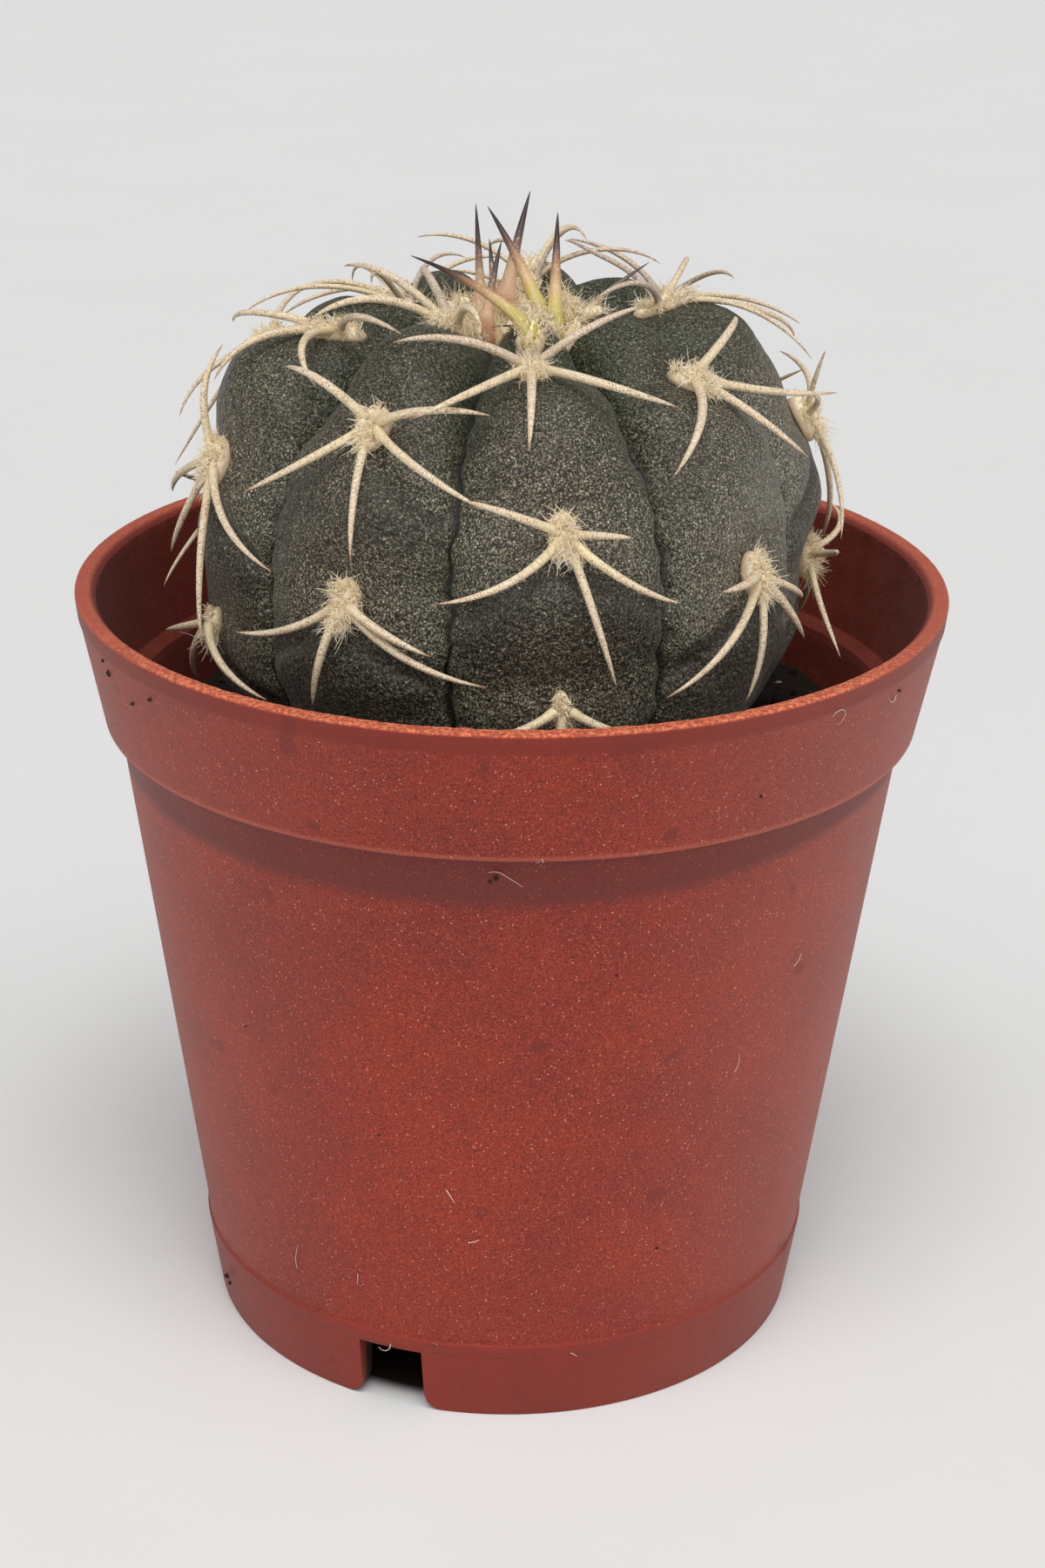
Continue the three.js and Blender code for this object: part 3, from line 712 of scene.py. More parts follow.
class CactusPotSettings(bpy.types.PropertyGroup):
    """Sizes and colours of the pot and what fills it."""

    height: length_prop("Height", "From the table to the rim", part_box("pot")[1].z / MM)
    rim_radius: length_prop("Rim radius", "Outer radius of the rim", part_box("pot")[1].x / MM)
    wall: length_prop("Wall", "Thickness of the moulded wall", 0.9)
    soil_level: length_prop("Soil level", "Height of the soil's surface", 38.6)
    plastic: colour_prop("Plastic", "Terracotta-red plastic", (0.355, 0.033, 0.012))
    plastic_shade: colour_prop("Plastic, darker", "Darker clouds and worn marks in the plastic", (0.17, 0.02, 0.014))
    # The rim edge colour is partly the cut edge's own paler plastic and partly a painted highlight.
    rim_edge_highlight: colour_prop("Rim edge", "Brighter cut edge of the rim", (1.0, 0.28, 0.125))
    soil: colour_prop("Soil", "Dark peat mix", (0.012, 0.008, 0.006))
    bark: colour_prop("Bark", "Lighter crumbs in the mix", (0.09, 0.052, 0.028))


class CactusPlantSettings(bpy.types.PropertyGroup):
    """Sizes and colours of the cactus."""

    spine_radius: length_prop("Spine radius", "Radius of a grown spine at its root", 0.295)
    hair_length: length_prop("Hair length", "Length of a cushion's felt hairs", 0.55)
    skin: colour_prop("Skin", "Dark olive-grey skin", (0.062, 0.051, 0.026))
    skin_green: colour_prop("Skin, fresh", "Greener skin near the crown and in the furrows", (0.027, 0.043, 0.016))
    # The bloom colour is also laid on as painted light on the right side and low on the belly.
    bloom_and_light: colour_prop("Bloom", "Pale grey waxy bloom", (0.2, 0.185, 0.15))
    spine: colour_prop("Spine", "Cream of a grown spine", (0.97, 0.79, 0.46))
    spine_old: colour_prop("Spine, old", "Grey of the oldest spines", (0.5, 0.4, 0.36))
    spine_tip: colour_prop("Spine tip", "Orange-brown tip", (0.42, 0.18, 0.07))
    felt: colour_prop("Felt", "Cream felt of the cushions", (1.0, 0.86, 0.58))


class CactusStageSettings(bpy.types.PropertyGroup):
    """The plain stage."""

    lens: bpy.props.FloatProperty(name="Lens", description="Focal length", default=68.665, min=1, unit="CAMERA")
    sky: bpy.props.FloatProperty(name="Sky", description="Strength of the even studio light", default=0.25, min=0)
    key: bpy.props.FloatProperty(name="Key", description="Power of the soft top light", default=1.3, min=0)
    fill: bpy.props.FloatProperty(name="Fill", description="Power of the wide front light", default=1.65, min=0)
    floor: colour_prop("Floor", "Pale floor", (0.8, 0.795, 0.79))


# ---- finishes


def plastic_finish(settings):
    """Satin moulded plastic: fine sand texture, pale specks, worn clouds, a smooth stripe under a bright cut rim.
    Painted light: sheen at the sides, highlights on the lip and rim, a shadow under the ledge, shade inside.
    """
    f = Finish("terracotta_plastic")
    shade = settings.plastic_shade
    x, y, z = f.parts("XYZ", f.object)
    height = f.math("DIVIDE", z, MM)
    stripe = height.span(48.2, 48.75) * height.span(49.66, 49.45)
    plain = f.math("SUBTRACT", 1.0, f.math("MAXIMUM", stripe, height.span(5.75, 5.5)))
    grain = f.noise(0.125, 2, 0.7)
    specks = f.either(f.specks(0.22, 0.5, 0.35), f.specks(1.1, 0.3, 0.12))
    # Painted reflection: the plastic is painted paler towards the left and right sides, as sheen seen at a glancing
    # angle.
    side_sheen = x.span(-0.006, -0.022, 0, 0.05) + x.span(0.004, 0.024, 0, 0.1)
    # Painted highlight: a pale line along the lower lip of the band.
    lip_highlight = height.span(41.3, 41.5, 0, 0.28) * height.span(41.85, 41.6)
    # Painted shadow: a dark band under the ledge of the band, longest just left of the front.
    depth = f.math("POWER", f.math("ABSOLUTE", x + 0.004), 2).span(0, 0.0007, 3.6, 2.0)
    below = f.math("DIVIDE", f.math("SUBTRACT", BAND_FOOT_Z, height), depth)
    shadow = below.span(1.15, 0.75) * below.span(-0.02, 0.04) * below.span(0.2, 0.9, 0.6, 0.75)
    # Painted highlight: the rim's top is painted bright orange in torn patches, most at the front; partly the cut
    # edge's paler colour.
    torn = f.noise(0.22, 2, 0.6, seed=0.017).span(0.42, 0.62) * y.span(-0.008, -0.022, 0.2, 1)
    # Painted shade: the inner wall is painted dark and patchy.
    inside = f.layer("inside")[0] * f.noise(2.5, 3, 0.6).span(0.3, 0.7, 0.65, 0.9)
    # Painted shade: inside the foot wall, seen through the notches, the plastic is painted nearly black.
    flat = f.node("VectorMath", {0: f.object, 1: (1, 1, 0.155)}, operation="MULTIPLY")
    notch = height.span(4.72, 4.6) * f.length(flat).span(0.0193, 0.019)
    base = f.over(
        settings.plastic,
        (f.noise(9, 4, 0.6).span(0.35, 0.7, 0, 0.4), shade),
        (grain.span(0.5, 0.36) * plain.span(0, 1, 0.35, 0.8), (0.1, 0.011, 0.008)),
        (grain.span(0.55, 0.66, 0, 0.55) * plain, (0.62, 0.12, 0.055)),
        (specks * plain.span(0, 1, 0.1, 0.7), (0.86, 0.34, 0.21)),
        (side_sheen, (0.75, 0.36, 0.3)),
        (lip_highlight, (0.7, 0.2, 0.13)),
        (f.noise(3.4, 2, 0.5, seed=0.031).span(0.68, 0.73, 0, 0.5), shade),
        (stripe * 0.5, shade),
        (height.span(16, 0, 0, 0.25), shade),
        (height.span(5.75, 5.5, 0, 0.22), shade),
        (shadow, (0.13, 0.022, 0.021)),
        (height.span(49.5, 49.7) * 0.9, f.mix(torn, (0.5, 0.1, 0.055), settings.rim_edge_highlight)),
        (inside, (0.165, 0.023, 0.013)),
        (notch * 0.95, (0.012, 0.004, 0.003)),
    )
    relief = f.bump(grain, 0.1, 0.9)
    relief = f.bump(f.noise(2.2, 3, 0.5), 0.12, 0.2, relief)
    relief = f.bump(height.span(4.66, 4.74), 0.09, 1.0, relief)
    return f.done(base, grain.span(0.2, 0.8, 0.4, 0.62), relief, Specular_IOR_Level=0.35, Sheen_Weight=0.07,
                  Sheen_Roughness=0.3, Sheen_Tint=(1.0, 0.86, 0.82))


def litter_finish():
    """Pale threads and dark crumbs of dry mix. Paint: paleness."""
    f = Finish("dust_and_lint")
    dark = f.mix(f.noise(0.3, 3, 0.6), (0.01, 0.008, 0.006), (0.06, 0.04, 0.03))
    base = f.mix(f.layer("tone")[0], dark, (0.82, 0.6, 0.5))
    return f.done(base, 0.8, f.bump(f.noise(0.1, 2, 0.6), 0.05, 0.6), Specular_IOR_Level=0.2)


def soil_finish(settings):
    """Damp dark peat. Paint: share of bark, share of grit."""
    f = Finish("potting_soil")
    bark, grit, _ = f.layer("crumb")
    damp = (f.noise(1.1, 4, 0.7), (0.03, 0.019, 0.012))
    base = f.over(settings.soil, damp, (bark, settings.bark), (grit, (0.5, 0.42, 0.3)))
    return f.done(base, 0.9, f.bump(f.noise(0.35, 4, 0.7), 0.15, 0.8), Specular_IOR_Level=0.25)


def skin_finish(settings):
    """Pebbly olive-grey skin with pale flecks, greener in the furrows and by the crown, with a grey bloom that is
    partly painted light.

    Paint: flank, shade under the chins, polar angle."""
    f = Finish("cactus_skin")
    flank, dusk, polar = f.layer("relief")
    x = f.parts("XYZ", f.object)[0]
    # Painted light: the right side is painted lighter, with more bloom, paler flecks and fewer dark pores.
    right = x.span(0.004, 0.017)
    fine = f.noise(0.12, 3, 0.7)
    patches = f.noise(8, 3, 0.6, seed=0.0043).span(0.36, 0.66, 0.3, 1)
    # Painted light: low on the belly, which faces down, the bloom is laid up to twice as thick to brighten it.
    belly = polar.span(0.2, 0.4) * polar.span(0.5, 0.62, 1, 2.2)
    bloom_and_light = belly * (patches + x.span(0.006, 0.016, 0, 0.7))
    base = f.over(
        settings.skin,
        (f.noise(6, 4, 0.6).span(0.35, 0.7, 0, 0.7), (0.06, 0.046, 0.03)),
        (f.either(polar.span(0.36, 0.12) * 0.85, flank.span(0.5, 0.95, 0, 0.5)), settings.skin_green),
        (bloom_and_light * right.span(0, 1, 0.14, 0.5), settings.bloom_and_light),
        (fine.span(0.53, 0.42) * right.span(0, 1, 0.95, 0.82), (0.007, 0.006, 0.004)),
        (fine.span(0.53, 0.6) * bloom_and_light.span(0.0, 0.8, 0.45, 0.9), (0.38, 0.34, 0.235)),
        (f.specks(0.2, 0.55, 0.42) * bloom_and_light.span(0.0, 0.8, 0.3, 0.8), (0.62, 0.56, 0.42)),
        (dusk * 0.8, (0.012, 0.01, 0.009)),
        (f.either(f.specks(0.36, 0.16, 0.26), f.specks(0.9, 0.2, 0.12)) * 0.8, (0.6, 0.56, 0.38)),
        # Painted shade: a thin dark line along the bottom of each groove.
        (flank.span(0.95, 0.995) * polar.span(0.14, 0.25) * 0.85, (0.006, 0.009, 0.005)),
    )
    normal = f.bump(fine, 0.04, 0.8, f.bump(f.cells(0.33, "SMOOTH_F1"), -0.14))
    return f.done(base, fine.span(0.3, 0.7, 0.45, 0.7), normal, Specular_IOR_Level=0.45, Sheen_Weight=0.1,
                  Sheen_Roughness=0.4)


def spine_finish(settings):
    """Cream to grey scaly spines with orange-brown tips. Paint: distance along, age, height of the scales."""
    f = Finish("bone_spine")
    along, age, scales = f.layer("growth")
    grain = f.noise(0.13, 2, 0.7)
    worn = along.span(0.02, 0.3, 0.35, 1.0)
    pits = f.either(scales.span(0.42, 0.1, 0, 0.5), grain.span(0.47, 0.34, 0, 0.65))
    shaft = f.over(
        settings.spine,
        (age, settings.spine_old),
        (along.span(0.1, 0.45, 0.0, 0.5), (0.86, 0.65, 0.48)),
        (f.noise(1.3, 3, 0.6).span(0.5, 0.75, 0, 0.4), (0.5, 0.33, 0.2)),
        (along.span(0.84, 1.0) * 0.85, settings.spine_tip),
        (pits * worn, (0.2, 0.115, 0.075)),
        (grain.span(0.53, 0.66, 0, 0.75) * worn, (1.0, 0.93, 0.79)),
    )
    return f.done(shaft, 0.55, f.bump(grain, 0.06, 0.9), Specular_IOR_Level=0.4, Subsurface_Weight=0.1,
                  Subsurface_Radius=(1.0, 0.6, 0.35), Subsurface_Scale=0.0006)


def young_finish():
    """Smooth young spines: yellow-green or reddish at the root, pink in the middle, purple-brown at the tip."""
    f = Finish("young_spine")
    along, age, _ = f.layer("growth")
    fresh = f.ramp(along, (0.0, (0.56, 0.49, 0.08)), (0.2, (0.62, 0.5, 0.13)), (0.36, (0.7, 0.46, 0.22)),
                   (0.54, (0.42, 0.22, 0.11)), (0.68, (0.13, 0.065, 0.05)), (0.82, (0.035, 0.02, 0.018)))
    ripe = f.ramp(along, (0.0, (0.62, 0.2, 0.13)), (0.12, (0.76, 0.44, 0.29)), (0.34, (0.62, 0.39, 0.23)),
                  (0.5, (0.25, 0.13, 0.1)), (0.64, (0.06, 0.032, 0.028)), (0.8, (0.03, 0.018, 0.016)))
    grey = f.ramp(along, (0.0, (0.6, 0.46, 0.24)), (0.35, (0.42, 0.33, 0.2)), (0.6, (0.26, 0.2, 0.15)),
                  (0.85, (0.13, 0.08, 0.06)), (1.0, (0.06, 0.035, 0.03)))
    fuzz = f.noise(0.16, 2, 0.7).span(0.54, 0.64, 0, 0.5) * along.span(0.75, 0.5) * along.span(0.02, 0.3)
    base = f.over(fresh, (age.span(0.05, 0.5), ripe), (age.span(0.5, 0.8), grey), (fuzz, (0.85, 0.76, 0.6)))
    return f.done(base, 0.42, f.bump(f.noise(0.25, 2, 0.6), 0.04, 0.5), Specular_IOR_Level=0.5,
                  Subsurface_Weight=0.2, Subsurface_Radius=(1.0, 0.6, 0.3), Subsurface_Scale=0.0008)


def felt_finish(settings):
    """Cream felt, painted darker low in the felt and in gaps as shade, with a faint painted glow. Paint: height in the
    felt, paleness.
    """
    f = Finish("cushion_felt")
    height, pale, _ = f.layer("growth")
    base = f.over(
        # Painted shade: dark brown low in the felt and in noisy gaps; the cream lies on top.
        (0.4, 0.22, 0.08),
        (height.span(0.05, 0.6), settings.felt),
        (f.noise(0.2, 3, 0.7).span(0.52, 0.38, 0, 0.8), (0.4, 0.24, 0.1)),
        (pale, (1.0, 0.95, 0.83)),
    )
    # Painted light: a faint warm emission makes the felt glow as if light passed through its hairs.
    return f.done(base, 0.85, f.bump(f.noise(0.2, 3, 0.6), 0.025, 0.8), Specular_IOR_Level=0.3,
                  Emission_Color=(1.0, 0.72, 0.36), Emission_Strength=0.05)


# ---- pot

FLOOR_Z = 4.9
FLOOR_THICKNESS = 1.1
FOOT_STEP_Z = 5.65
BAND_FOOT_Z = 41.4
BODY_FOOT_RADIUS = 20.2
BODY_TOP_RADIUS = 25.07
FOOT_RADIUS = 19.5
FOOT_WALL = 1.2
BAND_FOOT_RADIUS = 25.9
BAND_SLOPE = 0.2
FOOT_SLOPE = 0.155
POT_SIDES = 480
CAP_RADIUS = 0.4
NOTCH_AZIMUTHS = (-20.7, 99.3, 219.3)
NOTCH_HALF_WIDTH = 2.12
NOTCH_TOP = 4.6
NOTCH_FLARE = 1.2
NOTCH_REACH = 2.4
DRAIN_COUNT = 4
DRAIN_RADIUS = 2.2
DRAIN_CIRCLE_RADIUS = 10.5


def inner_radius(z, wall):
    share = (z - FOOT_STEP_Z) / (BAND_FOOT_Z - FOOT_STEP_Z)
    return BODY_FOOT_RADIUS + share * (BODY_TOP_RADIUS - BODY_FOOT_RADIUS) - wall


# Fibres caught on the wall: azimuth, height, length, bearing from upward, turn along it, paleness.
FIBRES = [(-1.5, 40.4, 1.8, 115, 20, 0.7), (-2.6, 40.3, 1.2, 60, 90, 0.6), (3.6, 41.0, 0.8, 80, -120, 0.9),
          (42.7, 48.2, 2.2, 20, 240, 0.7), (57, 47.6, 1.2, 200, 150, 0.8), (-39.6, 8.4, 2.0, 4, 12, 0.75),
          (-26, 9.8, 0.9, 170, 30, 0.7), (-9.3, 17.6, 1.1, 140, 25, 1.0), (-5.8, 13.7, 0.7, 65, 10, 1.0),
          (-12.4, 5.5, 0.9, 30, 260, 0.25), (12.3, 4.9, 0.6, 100, 60, 0.7), (-20.4, 4.9, 1.3, 170, 140, 0.85),
          (-62.6, 3.6, 1.0, 300, 80, 0.15), (48, 30.2, 0.9, 25, 20, 0.8), (38, 24, 1.3, 15, -15, 0.8)]
# Crumbs of dry mix on the wall: azimuth, height, size.
CRUMBS = [(-1.6, 39.95, 0.2), (-2.4, 39.7, 0.13), (-50.7, 47.6, 0.2), (-62.4, 47.5, 0.22), (-63.6, 48.1, 0.15),
          (-56, 46.5, 0.13), (57.6, 47.8, 0.12), (-68.2, 2.5, 0.26), (-67, 2.2, 0.16), (33, 44.1, 0.1), (-20, 21, 0.09),
          (15.5, 33, 0.09), (-44, 26, 0.1), (27, 12, 0.1)]


def outer_radius(z):
    z = np.asarray(z, float)
    band = BAND_FOOT_RADIUS + BAND_SLOPE * (z - BAND_FOOT_Z)
    foot = FOOT_RADIUS + FOOT_SLOPE * z
    return np.where(z > BAND_FOOT_Z, band, np.where(z < FOOT_STEP_Z, foot, inner_radius(z, 0)))


def on_wall(azimuth, z, lift):
    turn = np.radians(azimuth)
    radius = outer_radius(z) + lift
    return np.stack([radius * np.sin(turn), -radius * np.cos(turn), z + 0 * radius], -1)


def fibre_curve(azimuth, z, length, bearing, turn):
    """A thread that lies on the pot's wall, bent evenly along its length and lifted in its middle."""
    begin, bend = math.radians(bearing), math.radians(turn)

    def curve(t):
        t = np.asarray(t, float)
        aside = length * (math.cos(begin) - np.cos(begin + bend * t)) / bend
        rise = length * (np.sin(begin + bend * t) - math.sin(begin)) / bend
        return on_wall(azimuth + np.degrees(aside / float(outer_radius(z))), z + rise, 0.02 + 0.12 * np.sin(np.pi * t))

    return curve


def litter():
    """The fibres and crumbs that cling to the outside of the pot, as one mesh."""
    strand = rod_model(4, 14)
    lump, faces = ball_model(10, 6)
    chance = random.Random(3)
    heap = Sheaf()
    for azimuth, z, length, bearing, turn, pale in FIBRES:
        curve = fibre_curve(azimuth, z, length, bearing, turn)
        along_wall = on_wall(azimuth, z, 0) - on_wall(azimuth, z, 1)
        points = bend_rod(strand, curve, along_wall, lambda t: 0.034 - 0.015 * t)[0]
        heap.add(points, strand[1], (pale, pale, pale))
    for azimuth, z, size in CRUMBS:
        squeeze = np.array([chance.uniform(0.6, 1.2), 0.7, chance.uniform(0.5, 1.1)])
        shape = dented(lump, 0.5, 2, (azimuth, z, 0)) * size * squeeze
        heap.add(shape + on_wall(azimuth, z, 0.02), faces, (0, 0, 0))
    return heap


def pot_profile(height, rim, wall):
    """The turned wall's outline: up the outside from the floor, over the rim, down the inside."""
    ledge = BAND_FOOT_Z + 0.9
    floor_top = FLOOR_Z + FLOOR_THICKNESS
    return [
        (CAP_RADIUS, FLOOR_Z), (FOOT_RADIUS - FOOT_WALL - 0.15, FLOOR_Z), (FOOT_RADIUS - FOOT_WALL, 0),
        (FOOT_RADIUS, 0), (BODY_FOOT_RADIUS + 0.15, FOOT_STEP_Z - 0.15), (BODY_FOOT_RADIUS, FOOT_STEP_Z),
        (BODY_TOP_RADIUS, BAND_FOOT_Z), (BAND_FOOT_RADIUS, BAND_FOOT_Z),
        (rim - 0.22, height - 1.45), (rim - 0.13, height - 1.3), (rim, height - 0.12), (rim - 0.12, height),
        (rim - 0.3, height), (rim - 0.5, height), (rim - 0.7, height), (rim - wall, height),
        (rim - wall - 0.4, height - 0.4), (rim - wall - 0.5, height - 1.1),
        (BAND_FOOT_RADIUS - wall + 0.15, ledge), (inner_radius(ledge - 0.4, wall), ledge - 0.4),
        (inner_radius(floor_top, wall), floor_top), (CAP_RADIUS, floor_top),
    ]


def pot_cutters():
    """The foot notches with flared lower corners, and the drain holes, as one tool."""
    half, flare = NOTCH_HALF_WIDTH, NOTCH_FLARE
    right = [(half + flare, -1), (half + flare, 0)]
    right += [(half + flare * (1 - math.sin(a)), flare * (1 - math.cos(a))) for a in (0.5, 1.05)]
    right += [(half, flare), (half, NOTCH_TOP)]
    left = [(-x, z) for x, z in reversed(right)]
    arch = [left[-1], *right, *left[:-1]]
    tools = []
    for azimuth in NOTCH_AZIMUTHS:
        corners = [(x * MM, -(FOOT_RADIUS + NOTCH_REACH) * MM, z * MM) for x, z in arch]
        cutter = new_mesh("notch", corners, [range(len(arch))])
        only(cutter)
        bpy.ops.object.mode_set(mode="EDIT")
        bpy.ops.mesh.select_all(action="SELECT")
        bpy.ops.mesh.extrude_region_move(TRANSFORM_OT_translate={"value": (0, 2 * NOTCH_REACH * MM, 0)})
        leave_closed()
        cutter.data.transform(Matrix.Rotation(math.radians(azimuth), 4, "Z"))
        tools.append(cutter)
    for index in range(DRAIN_COUNT):
        angle = index * math.tau / DRAIN_COUNT
        across = DRAIN_CIRCLE_RADIUS * MM
        place = (math.cos(angle) * across, math.sin(angle) * across, (FLOOR_Z + FLOOR_THICKNESS / 2) * MM)
        tools.append(start(bpy.ops.mesh.primitive_cylinder_add, vertices=48, radius=DRAIN_RADIUS * MM,
                           depth=3 * FLOOR_THICKNESS * MM, location=place))
    return join(*tools)


def roughen_rim(piece, height, rim):
    """The rim's cut edge is a little torn: small burrs, most of them at the front."""
    points = coordinates(piece) / MM
    radius = np.hypot(points[:, 0], points[:, 1])
    azimuth = np.degrees(np.arctan2(points[:, 0], -points[:, 1]))
    near = (points[:, 2] > height - 0.45) & (radius > rim - 1.6)
    torn = 0.35 + 0.9 * bell(azimuth + 8, 26)
    for index in np.nonzero(near)[0]:
        at = Vector(points[index])
        points[index, 2] += 0.11 * torn[index] * knobs(at, (1.7, 0.5), (4.1, 0.5)) - 0.03
        if radius[index] < rim - 0.6:
            bite = max(0, noise.noise(at * 2.9 + Vector((5, 1, 0))))
            points[index, :2] *= 1 - 0.006 * torn[index] * bite
    points[:, 2] = np.minimum(points[:, 2], height + 0.02)
    place_vertices(piece, points * MM)


def mark_inside(pot, height):
    """Marks the inner wall, which is painted darker as shade inside the pot."""
    points = coordinates(pot) / MM
    radius, z = np.hypot(points[:, 0], points[:, 1]), points[:, 2]
    above = np.maximum(z - BAND_FOOT_Z, 0)
    middle = inner_radius(z, 0.45) + (0.83 + 0.064 * above) * (z > BAND_FOOT_Z + 0.05)
    inside = (radius < middle) & (z < height - 0.45)
    paint(pot, "inside", np.repeat(inside[:, None], 3, axis=1))


class CACTUS_OT_pot(bpy.types.Operator):
    """Turns the nursery pot: flat rim, flared band with its ledge, tapered wall, stepped foot with notches"""

    bl_idname = "cactus.pot"
    bl_label = "Pot"

    def execute(self, context):
        settings = context.scene.cactus_pot
        height, rim, wall = settings.height / MM, settings.rim_radius / MM, settings.wall / MM
        pot = turned("nursery_pot", pot_profile(height, rim, wall), POT_SIDES)
        apply_modifier(pot, "BEVEL", width=0.14 * MM, segments=3, limit_method="ANGLE", angle_limit=math.radians(28))
        tool = pot_cutters()
        apply_modifier(pot, "BOOLEAN", object=tool, operation="DIFFERENCE", solver="EXACT")
        bpy.data.objects.remove(tool)
        roughen_rim(pot, height, rim)
        mark_inside(pot, height)
        pot.data.materials.append(plastic_finish(settings))
        join(pot, litter().piece("litter", "tone", [litter_finish()]))
        return finish_piece(pot, None, "pot", slot="terracotta_plastic", angle=32)


# ---- soil

SOIL_SIDES = 160
CRUMB_COUNT = 620
# Uneven surface of the mix: how often, how high.
HEAPS = ((0.35, 0.9), (0.9, 0.5))
SOCKET_ANGLES = (104, 116, 128, 140, 152, 165, 176)


class CACTUS_OT_soil(bpy.types.Operator):
    """Fills the pot with crumbly dark mix, with a round hole for the stem"""

    bl_idname = "cactus.soil"
    bl_label = "Soil"

    def execute(self, context):
        settings = context.scene.cactus_pot
        level, wall = settings.soil_level / MM, settings.wall / MM
        bottom = FLOOR_Z + FLOOR_THICKNESS + CLEARANCE
        edge = inner_radius(level, wall) - 0.12
        socket = [float(globe_radius(a, 0)) for a in SOCKET_ANGLES]
        hole = [
            (r * math.sin(math.radians(a)) + 0.1, STEM_CENTRE[2] + r * math.cos(math.radians(a)) - 0.1)
            for a, r in zip(SOCKET_ANGLES, socket)
        ]
        hole = [(r, z) for r, z in hole if z < level - 0.6]
        inner = hole[0][0] + 0.7
        rings = [(edge + (inner - edge) * i / 14, level) for i in range(15)]
        profile = [(CAP_RADIUS, bottom), (inner_radius(bottom, wall) - 0.2, bottom), (edge, level - 1), *rings, *hole]
        profile[-1] = (CAP_RADIUS, profile[-1][1])
        mix = turned("potting_mix", profile, SOIL_SIDES)
        points = coordinates(mix) / MM
        for index in np.nonzero(np.abs(points[:, 2] - level) < 0.01)[0]:
            points[index, 2] += knobs(Vector(points[index]), *HEAPS, (2.2, 0.3))
        place_vertices(mix, points * MM)
        paint(mix, "crumb", np.zeros((len(points), 3)))
        join(mix, self.crumbs(level, inner, edge))
        return finish_piece(mix, soil_finish(settings), "soil", slot="potting_soil", angle=40)

    def crumbs(self, level, inner, edge):
        """One lump is modelled, then copied, squeezed and turned for every crumb."""
        model, faces = take(start(bpy.ops.mesh.primitive_ico_sphere_add, subdivisions=2, radius=1))
        chance = random.Random(11)
        heap = Sheaf()
        for number in range(CRUMB_COUNT):
            size = 0.22 + 0.75 * chance.random() ** 2.2
            angle = chance.uniform(0, 2 * math.pi)
            radius = math.sqrt(chance.uniform((inner - 0.5) ** 2, (edge - size * 0.7) ** 2))
            squeeze = np.array([chance.uniform(0.5, 1.6), chance.uniform(0.5, 1.0), chance.uniform(0.3, 0.7)])
            turn = np.array(Matrix.Rotation(chance.uniform(0, 6.28), 3, Vector((chance.random(), chance.random(), 1))))
            shape = (dented(model, 0.3, 1.8, (number, 0, 0)) * squeeze * size) @ turn.T
            at = Vector((radius * math.cos(angle), radius * math.sin(angle), level))
            if math.hypot(at.x, at.y) + np.abs(shape[:, :2]).max() > edge + 0.05:
                continue
            bark = chance.random() ** 2.5
            grit = 1.0 if chance.random() < 0.025 else 0.0
            heap.add(shape + np.array([at.x, at.y, level + knobs(at, *HEAPS) + 0.1 * size]), faces, (bark, grit, 0))
        return heap.piece("crumbs", "crumb", [])


# ---- stem

STEM_SECTORS = 432
STEM_RINGS = 214


def below_cushion(polar, place):
    """How many degrees each point of the skin lies below the cushion over it."""
    ribs = np.floor(place + 0.5).astype(int) % RIB_COUNT
    return np.array([
        min((angle - cushion[0] for cushion in RIBS[rib] if angle > cushion[0]), default=40)
        for rib, angle in zip(ribs, polar)
    ])


